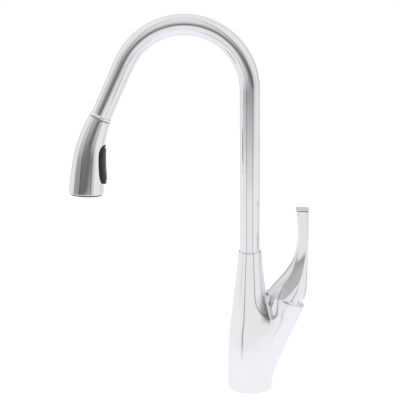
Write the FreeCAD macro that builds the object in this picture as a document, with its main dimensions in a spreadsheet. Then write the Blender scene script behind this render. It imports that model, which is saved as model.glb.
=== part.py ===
import FreeCAD, Part
import os
import re
import Sketcher

# A single-hole pull down kitchen faucet, in millimetres, +Z up.
# The origin is the centre of the base where it stands on the deck. The spout reaches towards -X and
# the lever stands on the +X side. Everything below z = 0 hangs under the deck.

doc = FreeCAD.newDocument("pull_down_faucet")
sheet = doc.addObject("Spreadsheet::Sheet", "sz")

SIZES = {
    # body casting
    "base_radius": 27.0, "base_straight": 25.0, "waist_radius": 20.0, "waist_height": 115.0,
    "neck_wall": 2.1, "neck_top": 170.0,
    # arm that carries the cartridge and the lever
    "arm_tilt": 21.0, "arm_wall": 4.9, "arm_length": 118.5, "arm_start": 12.0, "web_foot_height": 3.0,
    "web_foot_inset": 0.6, "web_top": 78.0, "web_half_depth": 23.4,
    # spout tube
    "tube_radius": 12.0, "tube_wall": 1.3, "tube_plug": 72.0, "arch_height": 360.5, "arch_radius": 76.0,
    "leg_tilt": 25.2, "leg_length": 70.0, "collar_proud": 0.9, "collar_height": 6.0,
    # swivel joint in the neck
    "lip_height": 9.0, "bush_wall": 1.4, "bush_length": 12.0, "bush_step": 2.0, "foot_step": 4.0,
    "clip_height": 1.6, "clip_depth": 0.6, "ring_height": 2.4, "ring_step": 8.0,
    # fits
    "running_gap": 0.06, "free_gap": 0.35, "seat_gap": 0.1,
    # hose
    "hose_radius": 6.0, "hose_bore": 3.8, "hose_room": 0.6, "hose_tail": 62.0, "tail_fitting_wall": 1.6,
    "tail_fitting_length": 24.0,
    # spray head: four stations from the seam to the mouth
    "seam_step": 1.2, "shoulder_share": 0.52, "middle_flare": 2.8, "mouth_radius": 21.0,
    "shoulder_drop": 27.0, "middle_drop": 22.0, "mouth_drop": 41.0, "shoulder_tilt": 17.0,
    "middle_tilt": 8.0, "mouth_tilt": 3.5, "head_wall": 2.0, "seam_gap": 0.8,
    # dock between the spout and the head
    "dock_depth": 14.0, "dock_wall": 1.0, "cone_length": 11.0, "cone_taper": 0.6, "cone_wall": 0.95,
    "inlet_length": 17.0, "hose_nut_length": 10.0, "inlet_wall": 4.2, "valve_length": 9.0,
    # spray face and waterway
    "core_radius": 10.3, "core_foot": 8.5, "core_length": 30.0, "face_proud": 1.8, "face_thickness": 4.2,
    "face_ring_width": 1.2, "nozzle_radius": 0.95, "nozzle_margin": 4.6, "nozzle_count": 16.0,
    "nozzle_pitch": 2.9, "inner_nozzle_count": 12.0, "nozzle_mat_thickness": 2.0, "nozzle_tip": 0.7,
    "aerator_margin": 3.2, "aerator_length": 11.0,
    # spray button
    "bezel_half_height": 24.0, "bezel_half_width": 12.0, "bezel_proud": 1.4, "bezel_inset": 1.0,
    "bezel_rim": 4.0, "bezel_side": 3.4, "button_proud": 0.9, "button_depth": 1.2, "button_shift": 4.0,
    "button_gap": 0.6, "button_pin_radius": 1.0, "button_pin_inset": 2.1, "button_lug_width": 6.0,
    "spool_radius": 2.4, "spool_length": 16.0, "spool_drop": 8.0,
    # cartridge
    "cartridge_radius": 17.5, "cartridge_depth": 36.0, "cartridge_skirt": 21.0, "cartridge_neck_height": 8.0,
    "cartridge_wall": 1.6, "rotor_inset": 5.5, "disc_inset": 4.5, "disc_thickness": 3.2,
    "moving_disc_inset": 7.1, "carrier_inset": 8.0, "nut_wall": 1.9, "pivot_depth": 10.0, "stem_half": 4.0,
    "stem_top": 17.0, "stem_pin_radius": 1.5, "finger_radius": 2.1, "finger_reach": 12.0,
    "finger_room": 0.7, "seal_share": 0.057143, "seal_room": 0.0737,
    # bonnet: a ball-shaped cap that the lever's skirt slides over
    "bonnet_inset": 1.2, "bonnet_wall": 1.6, "bonnet_flange": 1.2,
    # lever: its sections' places from the arm's rim, and their half widths
    "hub_inset": 1.7, "lever_lift": 18.0, "skirt_gap": 0.6, "skirt_hollow_gap": 0.4, "screw_radius": 2.5,
    "screw_length": 7.0, "screw_rise": 20.8, "plug_radius": 2.6, "plug_length": 2.2,
    "lever_hub_rise": 15.4, "lever_hub_shift": 7.7, "lever_hub_wide": 19.6, "lever_hub_deep": 21.0,
    "lever_flank_rise": 30.4, "lever_flank_shift": 13.1, "lever_flank_wide": 13.8, "lever_flank_deep": 17.5,
    "lever_throat_rise": 51.4, "lever_throat_shift": 18.8, "lever_throat_wide": 8.2,
    "lever_throat_deep": 12.5, "lever_blade_rise": 76.4, "lever_blade_shift": 21.2,
    "lever_blade_wide": 6.0, "lever_blade_deep": 9.6, "lever_tip_rise": 110.4, "lever_tip_shift": 19.5,
    "lever_tip_wide": 7.9, "lever_tip_deep": 9.6,
    # supply ports and the shank under the deck
    "shank_wall": 2.0, "shank_thread": 12.0, "shank_drop": 52.0, "port_radius": 3.5, "port_wall": 0.9,
    "port_room": 0.5, "port_top": 30.0, "drill_share": 0.137143, "outlet_drop": 60.0,
    "outlet_wall": 1.0, "deck_thickness": 22.0, "washer_rim": 8.0, "rubber_thickness": 3.0,
    "steel_thickness": 2.0, "clamp_nut_rim": 6.0, "clamp_nut_height": 8.0, "clamp_screw_radius": 2.5,
    "clamp_screw_length": 18.0, "clamp_screw_step": 4.6, "seal_step": 3.0, "seal_rim": 2.5,
    "seal_height": 2.5, "guide_length": 8.0, "guide_flange": 1.5,
}

# Sizes that follow from others, so that what fits together stays together.
FOLLOWS = {
    "neck_radius": "sz.tube_radius + sz.neck_wall",
    "hose_way_radius": "sz.hose_radius + sz.hose_room",
    "nut_radius": "sz.cartridge_radius + sz.nut_wall",
    "arm_radius": "sz.nut_radius + sz.arm_wall",
    "cartridge_seat": "sz.arm_length - sz.cartridge_depth",
    "nut_foot": "sz.cartridge_skirt - sz.cartridge_depth",
    "rotor_radius": "sz.cartridge_radius - sz.rotor_inset",
    "cartridge_neck_radius": "sz.rotor_radius + sz.cartridge_wall",
    "disc_radius": "sz.cartridge_radius - sz.disc_inset",
    "drill_radius": "sz.cartridge_radius * sz.drill_share",
    "seal_wall": "sz.cartridge_radius * sz.seal_share",
    "moving_disc_radius": "sz.cartridge_radius - sz.moving_disc_inset",
    "carrier_radius": "sz.cartridge_radius - sz.carrier_inset",
    "bonnet_ball": "sz.arm_radius - sz.bonnet_inset",
    "hub_radius": "sz.arm_radius - sz.hub_inset",
    "web_foot_radius": "sz.base_radius - sz.web_foot_inset",
    "web_shift": "sz.web_top * tan(sz.arm_tilt) / 2",
    "web_half_length": "sz.web_shift + sz.web_half_depth",
    "tube_foot": "sz.neck_top - sz.tube_plug",
    "lower_bush_foot": "sz.tube_foot + sz.foot_step",
    "upper_bush_foot": "sz.neck_top - sz.lip_height - sz.bush_length - sz.bush_step",
    "upper_ring_foot": "sz.upper_bush_foot - sz.ring_step",
    "lower_ring_foot": "sz.upper_ring_foot - sz.ring_step",
    "seam_radius": "sz.tube_radius + sz.seam_step",
    "cone_radius": "sz.tube_radius - sz.tube_wall - sz.dock_wall - sz.free_gap",
    "inlet_radius": "sz.cone_radius - sz.cone_wall",
    "valve_radius": "sz.inlet_radius - sz.inlet_wall",
    "tail_fitting_radius": "sz.hose_radius + sz.tail_fitting_wall",
    "aerator_radius": "sz.inner_nozzle_circle - sz.aerator_margin",
    "middle_radius": "sz.mouth_radius - sz.middle_flare",
    "shoulder_radius": "sz.seam_radius + (sz.middle_radius - sz.seam_radius) * sz.shoulder_share",
    "rim_radius": "sz.mouth_radius - sz.head_wall - sz.seat_gap * 2",
    "plate_radius": "sz.rim_radius - sz.face_ring_width - sz.seat_gap",
    "nozzle_circle": "sz.plate_radius - sz.nozzle_margin",
    "inner_nozzle_circle": "sz.nozzle_circle - sz.nozzle_pitch",
    "bezel_root": "sz.core_radius + sz.bezel_inset",
    "button_half_height": "sz.bezel_half_height - sz.bezel_rim",
    "button_half_width": "sz.bezel_half_width - sz.bezel_side",
    "button_pin_depth": "sz.bezel_root + sz.button_pin_inset",
    "port_circle": "sz.hose_way_radius + sz.port_wall + sz.port_radius",
    "port_spread": "sz.disc_radius - sz.drill_radius - sz.seal_wall - sz.seal_room",
    "port_angle": "asin(sz.port_spread / sz.port_circle)",
    "shank_bore": "sz.port_circle + sz.port_radius + sz.port_room",
    "shank_radius": "sz.shank_bore + sz.shank_wall",
    "washer_radius": "sz.shank_radius + sz.washer_rim",
    "clamp_screw_circle": "sz.shank_radius + sz.clamp_screw_step",
    "seal_inner": "sz.shank_radius + sz.seal_step",
    "seal_outer": "sz.base_radius - sz.seal_rim",
}
for row, (alias, size) in enumerate(SIZES.items(), start=1):
    sheet.set("A%d" % row, alias)
    sheet.set("B%d" % row, str(size))
    sheet.setAlias("B%d" % row, alias)
doc.recompute()

PARTS = {}

# Places that several pieces share, as expressions of the sheet's sizes.
SEAM = (
    "(-sz.arch_radius * (1 + cos(sz.leg_tilt)) - sz.leg_length * sin(sz.leg_tilt))",
    "(sz.arch_height + sz.arch_radius * sin(sz.leg_tilt) - sz.leg_length * cos(sz.leg_tilt))",
)


def below(station, drop, upper_tilt, lower_tilt):
    """The next station down a line that bends evenly from one tilt to the next."""
    mean = "((%s + %s) / 2)" % (upper_tilt, lower_tilt)
    return (
        "(%s - %s * sin(%s))" % (station[0], drop, mean),
        "(%s - %s * cos(%s))" % (station[1], drop, mean),
    )


SHOULDER = below(SEAM, "sz.shoulder_drop", "sz.leg_tilt", "sz.shoulder_tilt")
MIDDLE = below(SHOULDER, "sz.middle_drop", "sz.shoulder_tilt", "sz.middle_tilt")
MOUTH = below(MIDDLE, "sz.mouth_drop", "sz.middle_tilt", "sz.mouth_tilt")


def along(station, tilt, rise, side="0"):
    """A point at a rise up a tilted axis from a station, and off to its side."""
    return (
        "(%s + (%s) * sin(%s) + (%s) * cos(%s))" % (station[0], rise, tilt, side, tilt),
        "(%s + (%s) * cos(%s) - (%s) * sin(%s))" % (station[1], rise, tilt, side, tilt),
    )


ORIGIN = ("0", "0")
RIM = along(ORIGIN, "sz.arm_tilt", "sz.arm_length")
PIVOT = along(RIM, "sz.arm_tilt", "-sz.pivot_depth")
BUTTON = along(MIDDLE, "sz.middle_tilt", "-sz.button_shift")


def spelled(expression):
    """The expression with each size that follows from others written out in the sheet's own."""
    names = set(re.findall(r"sz\.(\w+)", expression)) & set(FOLLOWS)
    while names:
        for name in names:
            expression = re.sub(r"sz\.%s\b" % name, "(%s)" % FOLLOWS[name], expression)
        names = set(re.findall(r"sz\.(\w+)", expression)) & set(FOLLOWS)
    return expression


def bind(thing, path, expression):
    thing.setExpression(path, spelled(expression))


def value(expression):
    return float(sheet.evalExpression(spelled(expression)))


def place(thing, at=ORIGIN, tilt="0", side="0"):
    """Binds a placement: a point in the XZ plane (moved by side along Y) and a tilt about +Y."""
    bind(thing, "Placement",
        "placement(vector(%s; %s; %s); rotation(vector(0; 1; 0); %s))" % (at[0], side, at[1], tilt),
    )
    return thing


def keep(label, thing):
    """Names a finished sub-part."""
    thing.Label = label
    PARTS[label] = thing
    return thing


def cylinder(name, radius, height, at=ORIGIN, tilt="0", side="0"):
    thing = doc.addObject("Part::Cylinder", name)
    bind(thing, "Radius", radius)
    bind(thing, "Height", height)
    return place(thing, at, tilt, side)


def block(name, length, width, height, at=ORIGIN, tilt="0"):
    """A box centred on its axis across X and Y, standing on its place."""
    thing = doc.addObject("Part::Box", name)
    bind(thing, "Length", length)
    bind(thing, "Width", width)
    bind(thing, "Height", height)
    corner = along(at, tilt, "0", "-(%s) / 2" % length)
    return place(thing, corner, tilt, "-(%s) / 2" % width)


def cut(name, base, *tools):
    tool = tools[0] if len(tools) == 1 else fuse(name + "_tools", *tools)
    thing = doc.addObject("Part::Cut", name)
    thing.Base = base
    thing.Tool = tool
    return thing


def fuse(name, *pieces):
    thing = doc.addObject("Part::MultiFuse", name)
    thing.Shapes = list(pieces)
    return thing


def common(name, first, second):
    thing = doc.addObject("Part::MultiCommon", name)
    thing.Shapes = [first, second]
    return thing


def sketch(body, name, role="XZ_Plane"):
    drawing = body.newObject("Sketcher::SketchObject", name)
    plane = next(item for item in body.Origin.OriginFeatures if item.Role == role)
    drawing.AttachmentSupport = [(plane, "")]
    drawing.MapMode = "FlatFace"
    return drawing


def outline(drawing, corners, closed=True):
    """Draws an outline whose corners are bound to the sheet.

    A corner is (x, y) where a line starts, or (x, y, "arc") where an arc starts that is tangent to
    the segment before it.
    """
    count = len(corners)
    spots = [FreeCAD.Vector(value(corner[0]), value(corner[1]), 0) for corner in corners]
    segments = []
    heading = None
    for index in range(count if closed else count - 1):
        start, end = spots[index], spots[(index + 1) % count]
        if len(corners[index]) == 2:
            geometry = drawing.addGeometry(Part.LineSegment(start, end), False)
            heading = (end - start).normalize()
            segments.append((geometry, 1, 2))
            continue
        chord = end - start
        normal = FreeCAD.Vector(-heading.y, heading.x, 0)
        radius = chord.Length ** 2 / (2 * normal.dot(chord))
        centre = start + normal * radius
        middle = start + chord * 0.5 - centre
        middle = centre + middle.normalize() * abs(radius)
        if heading.dot(chord) < 0:
            middle = centre + (centre - middle)
        arc = Part.Arc(start, middle, end)
        geometry = drawing.addGeometry(arc, False)
        first = drawing.getPoint(geometry, 1)
        forward = first.distanceToPoint(start) < first.distanceToPoint(end)
        segments.append((geometry, 1, 2) if forward else (geometry, 2, 1))
        heading = FreeCAD.Vector(-(end - centre).y, (end - centre).x, 0) * (1 if radius > 0 else -1)
        heading.normalize()
    for index, (geometry, _, tail) in enumerate(segments):
        if index + 1 == len(segments) and not closed:
            break
        other, head, _ = segments[(index + 1) % len(segments)]
        kind = "Tangent" if len(corners[(index + 1) % count]) == 3 else "Coincident"
        drawing.addConstraint(Sketcher.Constraint(kind, geometry, tail, other, head))
    for index, corner in enumerate(corners):
        last = index == len(segments)
        geometry, head, tail = segments[index - 1] if last else segments[index]
        end = tail if last else head
        for kind, axis, expression in (("DistanceX", -2, corner[0]), ("DistanceY", -1, corner[1])):
            if expression == "0":
                drawing.addConstraint(Sketcher.Constraint("PointOnObject", geometry, end, axis))
                continue
            number = drawing.addConstraint(Sketcher.Constraint(kind, geometry, end, value(expression)))
            drawing.renameConstraint(number, "%s_%d" % (kind[-1].lower(), index))
            bind(drawing, "Constraints.%s_%d" % (kind[-1].lower(), index), expression)


def turned(name, corners, at=ORIGIN, tilt="0"):
    """A body of revolution about its own Z axis, from an outline of (radius, height) corners."""
    body = doc.addObject("PartDesign::Body", name)
    drawing = sketch(body, name + "_profile")
    outline(drawing, corners)
    doc.recompute()
    turn = body.newObject("PartDesign::Revolution", name + "_turn")
    turn.Profile = drawing
    turn.ReferenceAxis = (drawing, ["V_Axis"])
    turn.Angle = 360
    return place(body, at, tilt)


def ring(name, inner, outer, foot, top, at=ORIGIN, tilt="0"):
    return turned(name, [(inner, foot), (outer, foot), (outer, top), (inner, top)], at, tilt)


def circle(name, radius, at, turn):
    """A circle placed by a full rotation expression, which says where its seam lies."""
    thing = doc.addObject("Part::Circle", name)
    bind(thing, "Radius", radius)
    bind(thing, "Placement", "placement(vector(%s; 0; %s); %s)" % (at[0], at[1], turn))
    return thing


def ellipse(name, long_half, short_half, at, turn):
    """An ellipse placed by a full rotation expression."""
    thing = doc.addObject("Part::Ellipse", name)
    bind(thing, "MajorRadius", long_half)
    bind(thing, "MinorRadius", short_half)
    bind(thing, "Placement", "placement(vector(%s; 0; %s); %s)" % (at[0], at[1], turn))
    return thing


def loft(name, sections):
    thing = doc.addObject("Part::Loft", name)
    thing.Sections = sections
    thing.Solid = True
    thing.Ruled = False
    return thing


def swept_tube(name, radius, foot, leg):
    """A round bar along the spout's line: up the column, over the arch and down the leg."""
    body = doc.addObject("PartDesign::Body", name)
    path = sketch(body, name + "_path")
    arch_end = (
        "-sz.arch_radius * (1 + cos(sz.leg_tilt))",
        "sz.arch_height + sz.arch_radius * sin(sz.leg_tilt)",
    )
    leg_end = (
        "%s - (%s) * sin(sz.leg_tilt)" % (arch_end[0], leg),
        "%s - (%s) * cos(sz.leg_tilt)" % (arch_end[1], leg),
    )
    outline(path, [("0", foot), ("0", "sz.arch_height", "arc"), arch_end, leg_end], closed=False)
    section = sketch(body, name + "_section", "XY_Plane")
    bind(section, ".AttachmentOffset.Base.z", foot)
    section.addGeometry(Part.Circle(FreeCAD.Vector(0, 0, 0), FreeCAD.Vector(0, 0, 1), value(radius)), False)
    section.addConstraint(Sketcher.Constraint("Coincident", 0, 3, -1, 1))
    number = section.addConstraint(Sketcher.Constraint("Radius", 0, value(radius)))
    section.renameConstraint(number, "bar_radius")
    bind(section, "Constraints.bar_radius", radius)
    doc.recompute()
    pipe = body.newObject("PartDesign::AdditivePipe", name + "_sweep")
    pipe.Profile = section
    pipe.Spine = path
    return place(body)


# ---------------------------------------------------------------- body casting
def neck_blank():
    return turned("neck_blank", [
        ("0", "0"), ("sz.base_radius", "0"), ("sz.base_radius", "sz.base_straight", "arc"),
        ("sz.waist_radius", "sz.waist_height", "arc"), ("sz.neck_radius", "sz.neck_top"),
        ("0", "sz.neck_top"),
    ])


def arm_web():
    """Fills the casting between the neck and the arm, up to the foot of the valley."""
    level = "rotation(vector(0; 0; 1); 0)"
    foot = circle("web_foot", "sz.web_foot_radius", ("0", "sz.web_foot_height"), level)
    top = ellipse("web_crest", "sz.web_half_length", "sz.web_half_depth", ("sz.web_shift", "sz.web_top"),
                  level)
    return loft("arm_web", [foot, top])


def port_place(turn):
    """The centre of a port in the casting's floor, at an angle about the shank's axis."""
    return ("sz.port_circle * cos(%s)" % turn, "sz.port_circle * sin(%s)" % turn)


def body_casting():
    arm_foot = along(ORIGIN, "sz.arm_tilt", "sz.arm_start")
    arm = cylinder("arm_blank", "sz.arm_radius", "sz.arm_length - sz.arm_start", arm_foot, "sz.arm_tilt")
    blank = fuse("casting_blank", neck_blank(), arm, arm_web())
    seat = along(ORIGIN, "sz.arm_tilt", "sz.cartridge_seat")
    nut_foot = along(RIM, "sz.arm_tilt", "sz.nut_foot")
    bores = [
        cylinder("hose_way", "sz.hose_way_radius", "sz.neck_top"),
        cylinder("shank_socket", "sz.shank_radius + sz.seat_gap / 2", "sz.shank_thread"),
        cylinder("swivel_bore", "sz.tube_radius + sz.bush_wall",
                 "sz.neck_top - sz.lip_height - sz.tube_foot + sz.free_gap",
                 ("0", "sz.tube_foot - sz.free_gap")),
        cylinder("lip_bore", "sz.tube_radius + sz.running_gap", "sz.neck_top", ("0", "sz.tube_foot")),
        cylinder("cartridge_pocket", "sz.cartridge_radius + sz.seat_gap", "sz.arm_length",
                 seat, "sz.arm_tilt"),
        cylinder("nut_thread", "sz.nut_radius + sz.seat_gap / 2", "sz.arm_length", nut_foot, "sz.arm_tilt"),
        ring("seal_groove", "sz.seal_inner - sz.seat_gap", "sz.seal_outer + sz.seat_gap", "0",
             "sz.seal_height"),
    ]
    for number, turn in enumerate(("sz.port_angle", "0", "-sz.port_angle"), start=1):
        across, aside = port_place(turn)
        bores.append(cylinder("port_%d" % number, "sz.port_radius", "sz.port_top", (across, "0"), "0", aside))
        drill_foot = along(ORIGIN, "sz.arm_tilt", "sz.port_top - sz.drill_radius * 2")
        bores.append(cylinder("drill_%d" % number, "sz.drill_radius",
                              "sz.cartridge_seat - sz.port_top + sz.drill_radius * 3", drill_foot,
                              "sz.arm_tilt", aside))
    keep("body_casting", cut("body_casting", blank, *bores))


# ---------------------------------------------------------------- under the deck
def deck_hardware():
    keep("base_seal", ring("base_seal", "sz.seal_inner", "sz.seal_outer", "0",
                           "sz.seal_height - sz.seat_gap"))
    keep("mounting_shank", ring("mounting_shank", "sz.shank_bore", "sz.shank_radius", "-sz.shank_drop",
                                "sz.shank_thread - sz.seat_gap"))
    clear = "sz.shank_radius + sz.free_gap"
    rubber_foot = "-sz.deck_thickness - sz.rubber_thickness"
    steel_foot = "-sz.deck_thickness - sz.rubber_thickness - sz.steel_thickness"
    nut_foot = "-sz.deck_thickness - sz.rubber_thickness - sz.steel_thickness - sz.clamp_nut_height"
    keep("rubber_washer", ring("rubber_washer", clear, "sz.washer_radius", rubber_foot, "-sz.deck_thickness"))
    keep("steel_washer", ring("steel_washer", clear, "sz.washer_radius", steel_foot, rubber_foot))
    nut = doc.addObject("Part::Prism", "clamp_nut_blank")
    nut.Polygon = 6
    bind(nut, "Circumradius", "(sz.shank_radius + sz.clamp_nut_rim) / cos(30)")
    bind(nut, "Height", "sz.clamp_nut_height")
    place(nut, ("0", nut_foot))
    thread = cylinder("clamp_nut_thread", "sz.shank_radius + sz.seat_gap / 2", "sz.clamp_nut_height",
                      ("0", nut_foot))
    tappings = []
    screws = []
    for number, turn in enumerate(("0", "180"), start=1):
        across = "sz.clamp_screw_circle * cos(%s)" % turn
        foot = "-sz.deck_thickness - sz.rubber_thickness - sz.steel_thickness - sz.clamp_screw_length"
        tappings.append(cylinder("screw_tapping_%d" % number, "sz.clamp_screw_radius + sz.seat_gap / 2",
                                 "sz.clamp_screw_length", (across, foot)))
        shaft = cylinder("screw_shaft_%d" % number, "sz.clamp_screw_radius", "sz.clamp_screw_length",
                         (across, foot))
        head = cylinder("screw_head_%d" % number, "sz.clamp_screw_radius * 1.7",
                        "sz.clamp_screw_radius * 1.2", (across, foot + " - sz.clamp_screw_radius * 1.2"))
        screws.append(fuse("clamp_screw_%d" % number, shaft, head))
    keep("mounting_nut", cut("mounting_nut", nut, thread, *tappings))
    pair = doc.addObject("Part::Compound", "clamp_screws")
    pair.Links = screws
    keep("clamp_screws", pair)


def outlet_and_guide():
    """The water outlet tube, and the plastic guide that keeps the hose off the shank's edge."""
    across, aside = port_place("0")
    top = "sz.port_top / 2"
    tube = cylinder("outlet_blank", "sz.port_radius - sz.seat_gap / 2", "sz.outlet_drop + " + top,
                    (across, "-sz.outlet_drop"), "0", aside)
    bore = cylinder("outlet_bore", "sz.port_radius - sz.outlet_wall", "sz.outlet_drop + " + top,
                    (across, "-sz.outlet_drop"), "0", aside)
    keep("outlet_tube", cut("outlet_tube", tube, bore))
    guide_top = "-sz.shank_drop + sz.guide_length"
    blank = turned("guide_blank", [
        ("0", "-sz.shank_drop - sz.guide_flange"),
        ("sz.shank_radius", "-sz.shank_drop - sz.guide_flange"),
        ("sz.shank_radius", "-sz.shank_drop"),
        ("sz.shank_bore - sz.seat_gap", "-sz.shank_drop"),
        ("sz.shank_bore - sz.seat_gap", guide_top), ("0", guide_top),
    ])
    foot = ("0", "-sz.shank_drop - sz.guide_flange")
    height = "sz.guide_length + sz.guide_flange"
    holes = [cylinder("guide_hose_hole", "sz.hose_radius + sz.free_gap", height, foot)]
    for number, turn in enumerate(("sz.port_angle", "0", "-sz.port_angle"), start=1):
        across, aside = port_place(turn)
        holes.append(cylinder("guide_hole_%d" % number, "sz.port_radius + sz.free_gap / 4", height,
                              (across, foot[1]), "0", aside))
    keep("hose_guide", cut("hose_guide", blank, *holes))


# ---------------------------------------------------------------- swivelling spout
def swivel_fittings():
    outer = "sz.tube_radius + sz.bush_wall - sz.seat_gap / 2"
    inner = "sz.tube_radius + sz.running_gap"
    for label in ("lower_bush", "upper_bush"):
        foot = "sz.%s_foot" % label
        keep(label, ring(label, inner, outer, foot, "%s + sz.bush_length" % foot))
    for label in ("lower_ring", "upper_ring"):
        foot = "sz.%s_foot" % label
        keep(label.replace("ring", "o_ring"),
             ring(label, "sz.tube_radius", outer + " - sz.running_gap", foot, foot + " + sz.ring_height"))
    foot = "sz.lower_bush_foot + sz.bush_length + sz.seat_gap"
    clip = ring("clip_blank", "sz.tube_radius - sz.clip_depth", outer + " - sz.free_gap / 2", foot,
                foot + " + sz.clip_height")
    mouth = block("clip_mouth", "sz.tube_radius", "sz.tube_radius", "sz.clip_height",
                  ("-sz.tube_radius", foot))
    keep("spout_clip", cut("spout_clip", clip, mouth))


def spout_tube():
    bar = swept_tube("spout_bar", "sz.tube_radius", "sz.tube_foot", "sz.leg_length - sz.seam_gap")
    bore = swept_tube("spout_bore", "sz.tube_radius - sz.tube_wall", "sz.tube_foot",
                      "sz.leg_length - sz.seam_gap")
    foot = "sz.lower_bush_foot + sz.bush_length + sz.seat_gap"
    groove = ring("clip_groove", "sz.tube_radius - sz.clip_depth", "sz.tube_radius * 2",
                  foot + " - sz.running_gap", foot + " + sz.clip_height + sz.running_gap")
    keep("spout_tube", cut("spout_tube", bar, bore, groove))
    inner = "sz.tube_radius + sz.running_gap"
    outer = "sz.tube_radius + sz.collar_proud"
    keep("spout_collar", ring("spout_collar", inner, outer, "sz.seam_gap", "sz.seam_gap + sz.collar_height",
                              SEAM, "sz.leg_tilt"))
    sleeve = "sz.tube_radius - sz.tube_wall - sz.seat_gap / 2"
    keep("dock_sleeve", ring("dock_sleeve", sleeve + " - sz.dock_wall", sleeve, "sz.seam_gap",
                             "sz.dock_depth", SEAM, "sz.leg_tilt"))


def spray_hose():
    """The hose from under the shank to the leg, then the stretch that leaves the spout with the head."""
    leg = "sz.seat_gap"
    outer = swept_tube("hose_blank", "sz.hose_radius", "-sz.hose_tail", leg)
    inner = swept_tube("hose_hollow", "sz.hose_bore", "-sz.hose_tail", leg)
    keep("spray_hose", cut("spray_hose", outer, inner))
    stretch_foot = "sz.inlet_length + sz.hose_nut_length"
    keep("pull_hose", ring("pull_hose", "sz.hose_bore", "sz.hose_radius", stretch_foot,
                           "sz.leg_length - sz.seat_gap", SEAM, "sz.leg_tilt"))
    keep("hose_tail_fitting", turned("hose_tail_fitting", [
        ("sz.hose_bore", "-sz.hose_tail - sz.tail_fitting_length"),
        ("sz.tail_fitting_radius", "-sz.hose_tail - sz.tail_fitting_length"),
        ("sz.tail_fitting_radius", "-sz.hose_tail"),
        ("sz.hose_bore", "-sz.hose_tail"),
    ]))


# ---------------------------------------------------------------- spray head
def head_loft(name, growth):
    """The head's outside, grown or shrunk by an amount."""
    stations = (
        ("seam", SEAM, "sz.leg_tilt", "sz.seam_radius"),
        ("shoulder", SHOULDER, "sz.shoulder_tilt", "sz.shoulder_radius"),
        ("middle", MIDDLE, "sz.middle_tilt", "sz.middle_radius"),
        ("mouth", MOUTH, "sz.mouth_tilt", "sz.mouth_radius"),
    )
    seam_behind = "rotation(vector(0; 1; 0); %s) * rotation(vector(0; 0; 1); 180)"
    rings = [circle("%s_%s" % (name, label), "%s + (%s)" % (radius, growth), at, seam_behind % tilt)
             for label, at, tilt, radius in stations]
    return loft(name, rings)


def oval_bar(name, half_height, half_width, root, reach):
    """An oval bar that stands out of the head towards +X, about the button's centre."""
    foot = along(BUTTON, "sz.middle_tilt", "0", root)
    shape = ellipse(name + "_oval", half_height, half_width, foot,
                    "rotation(vector(0; 1; 0); 90 + sz.middle_tilt)")
    bar = doc.addObject("Part::Extrusion", name)
    bar.Base = shape
    bar.DirMode = "Normal"
    bar.Solid = True
    bind(bar, "LengthFwd", reach)
    return bar


def head_shell():
    outside = head_loft("head_outside", "0")
    inside = head_loft("head_inside", "-sz.head_wall")
    throat = cylinder("head_throat", "sz.inlet_radius + sz.seat_gap", "sz.head_wall * 3",
                      along(SEAM, "sz.leg_tilt", "-sz.head_wall * 1.5"), "sz.leg_tilt")
    cap = cylinder("head_cap", "sz.seam_radius - sz.head_wall / 2", "sz.head_wall",
                   along(SEAM, "sz.leg_tilt", "-sz.head_wall"), "sz.leg_tilt")
    window = oval_bar("button_window", "sz.bezel_half_height + sz.seat_gap",
                      "sz.bezel_half_width + sz.seat_gap", "sz.bezel_root - 1", "sz.mouth_radius")
    hollow = cut("head_hollow", outside, inside)
    capped = fuse("head_capped", hollow, cap)
    keep("head_shell", cut("head_shell", capped, throat, window))


def head_inlet():
    """Docking cone, threaded inlet and the nut and valve of the hose connection."""
    keep("dock_cone", turned("dock_cone", [
        ("sz.inlet_radius + sz.seat_gap / 2", "sz.seat_gap"), ("sz.cone_radius", "sz.seat_gap"),
        ("sz.cone_radius - sz.cone_taper", "sz.cone_length"),
        ("sz.inlet_radius + sz.seat_gap / 2", "sz.cone_length"),
    ], SEAM, "sz.leg_tilt"))
    keep("head_inlet", turned("head_inlet", [
        ("sz.valve_radius + sz.seat_gap / 2", "-sz.inlet_length / 2"),
        ("sz.inlet_radius", "-sz.inlet_length / 2"), ("sz.inlet_radius", "sz.inlet_length"),
        ("sz.valve_radius + sz.seat_gap / 2", "sz.inlet_length"),
    ], SEAM, "sz.leg_tilt"))
    keep("check_valve", ring("check_valve", "sz.valve_radius / 2", "sz.valve_radius", "0", "sz.valve_length",
                             SEAM, "sz.leg_tilt"))
    keep("hose_nut", ring("hose_nut", "sz.hose_bore", "sz.inlet_radius", "sz.inlet_length",
                          "sz.inlet_length + sz.hose_nut_length", SEAM, "sz.leg_tilt"))


def polar_holes(body, name, radius, spread, count, foot, depth, cutting):
    """A ring of round holes or pips in the XY plane of a body, made once and patterned."""
    drawing = sketch(body, name + "_sketch", "XY_Plane")
    bind(drawing, ".AttachmentOffset.Base.z", foot)
    centre = FreeCAD.Vector(value(spread), 0, 0)
    drawing.addGeometry(Part.Circle(centre, FreeCAD.Vector(0, 0, 1), value(radius)), False)
    drawing.addConstraint(Sketcher.Constraint("PointOnObject", 0, 3, -1))
    for kind, expression, arguments in (("Radius", radius, (0,)), ("DistanceX", spread, (0, 3))):
        number = drawing.addConstraint(Sketcher.Constraint(kind, *arguments, value(expression)))
        drawing.renameConstraint(number, kind.lower() + "_size")
        bind(drawing, "Constraints.%s_size" % kind.lower(), expression)
    doc.recompute()
    kind = "PartDesign::Pocket" if cutting else "PartDesign::Pad"
    first = body.newObject(kind, name + "_first")
    first.Profile = drawing
    bind(first, "Length", depth)
    first.Reversed = cutting
    body.Tip = first
    doc.recompute()
    pattern = body.newObject("PartDesign::PolarPattern", name + "_ring")
    pattern.Originals = [first]
    pattern.Axis = (drawing, ["N_Axis"])
    pattern.Angle = 360
    bind(pattern, "Occurrences", count)
    body.Tip = pattern
    doc.recompute()


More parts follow.
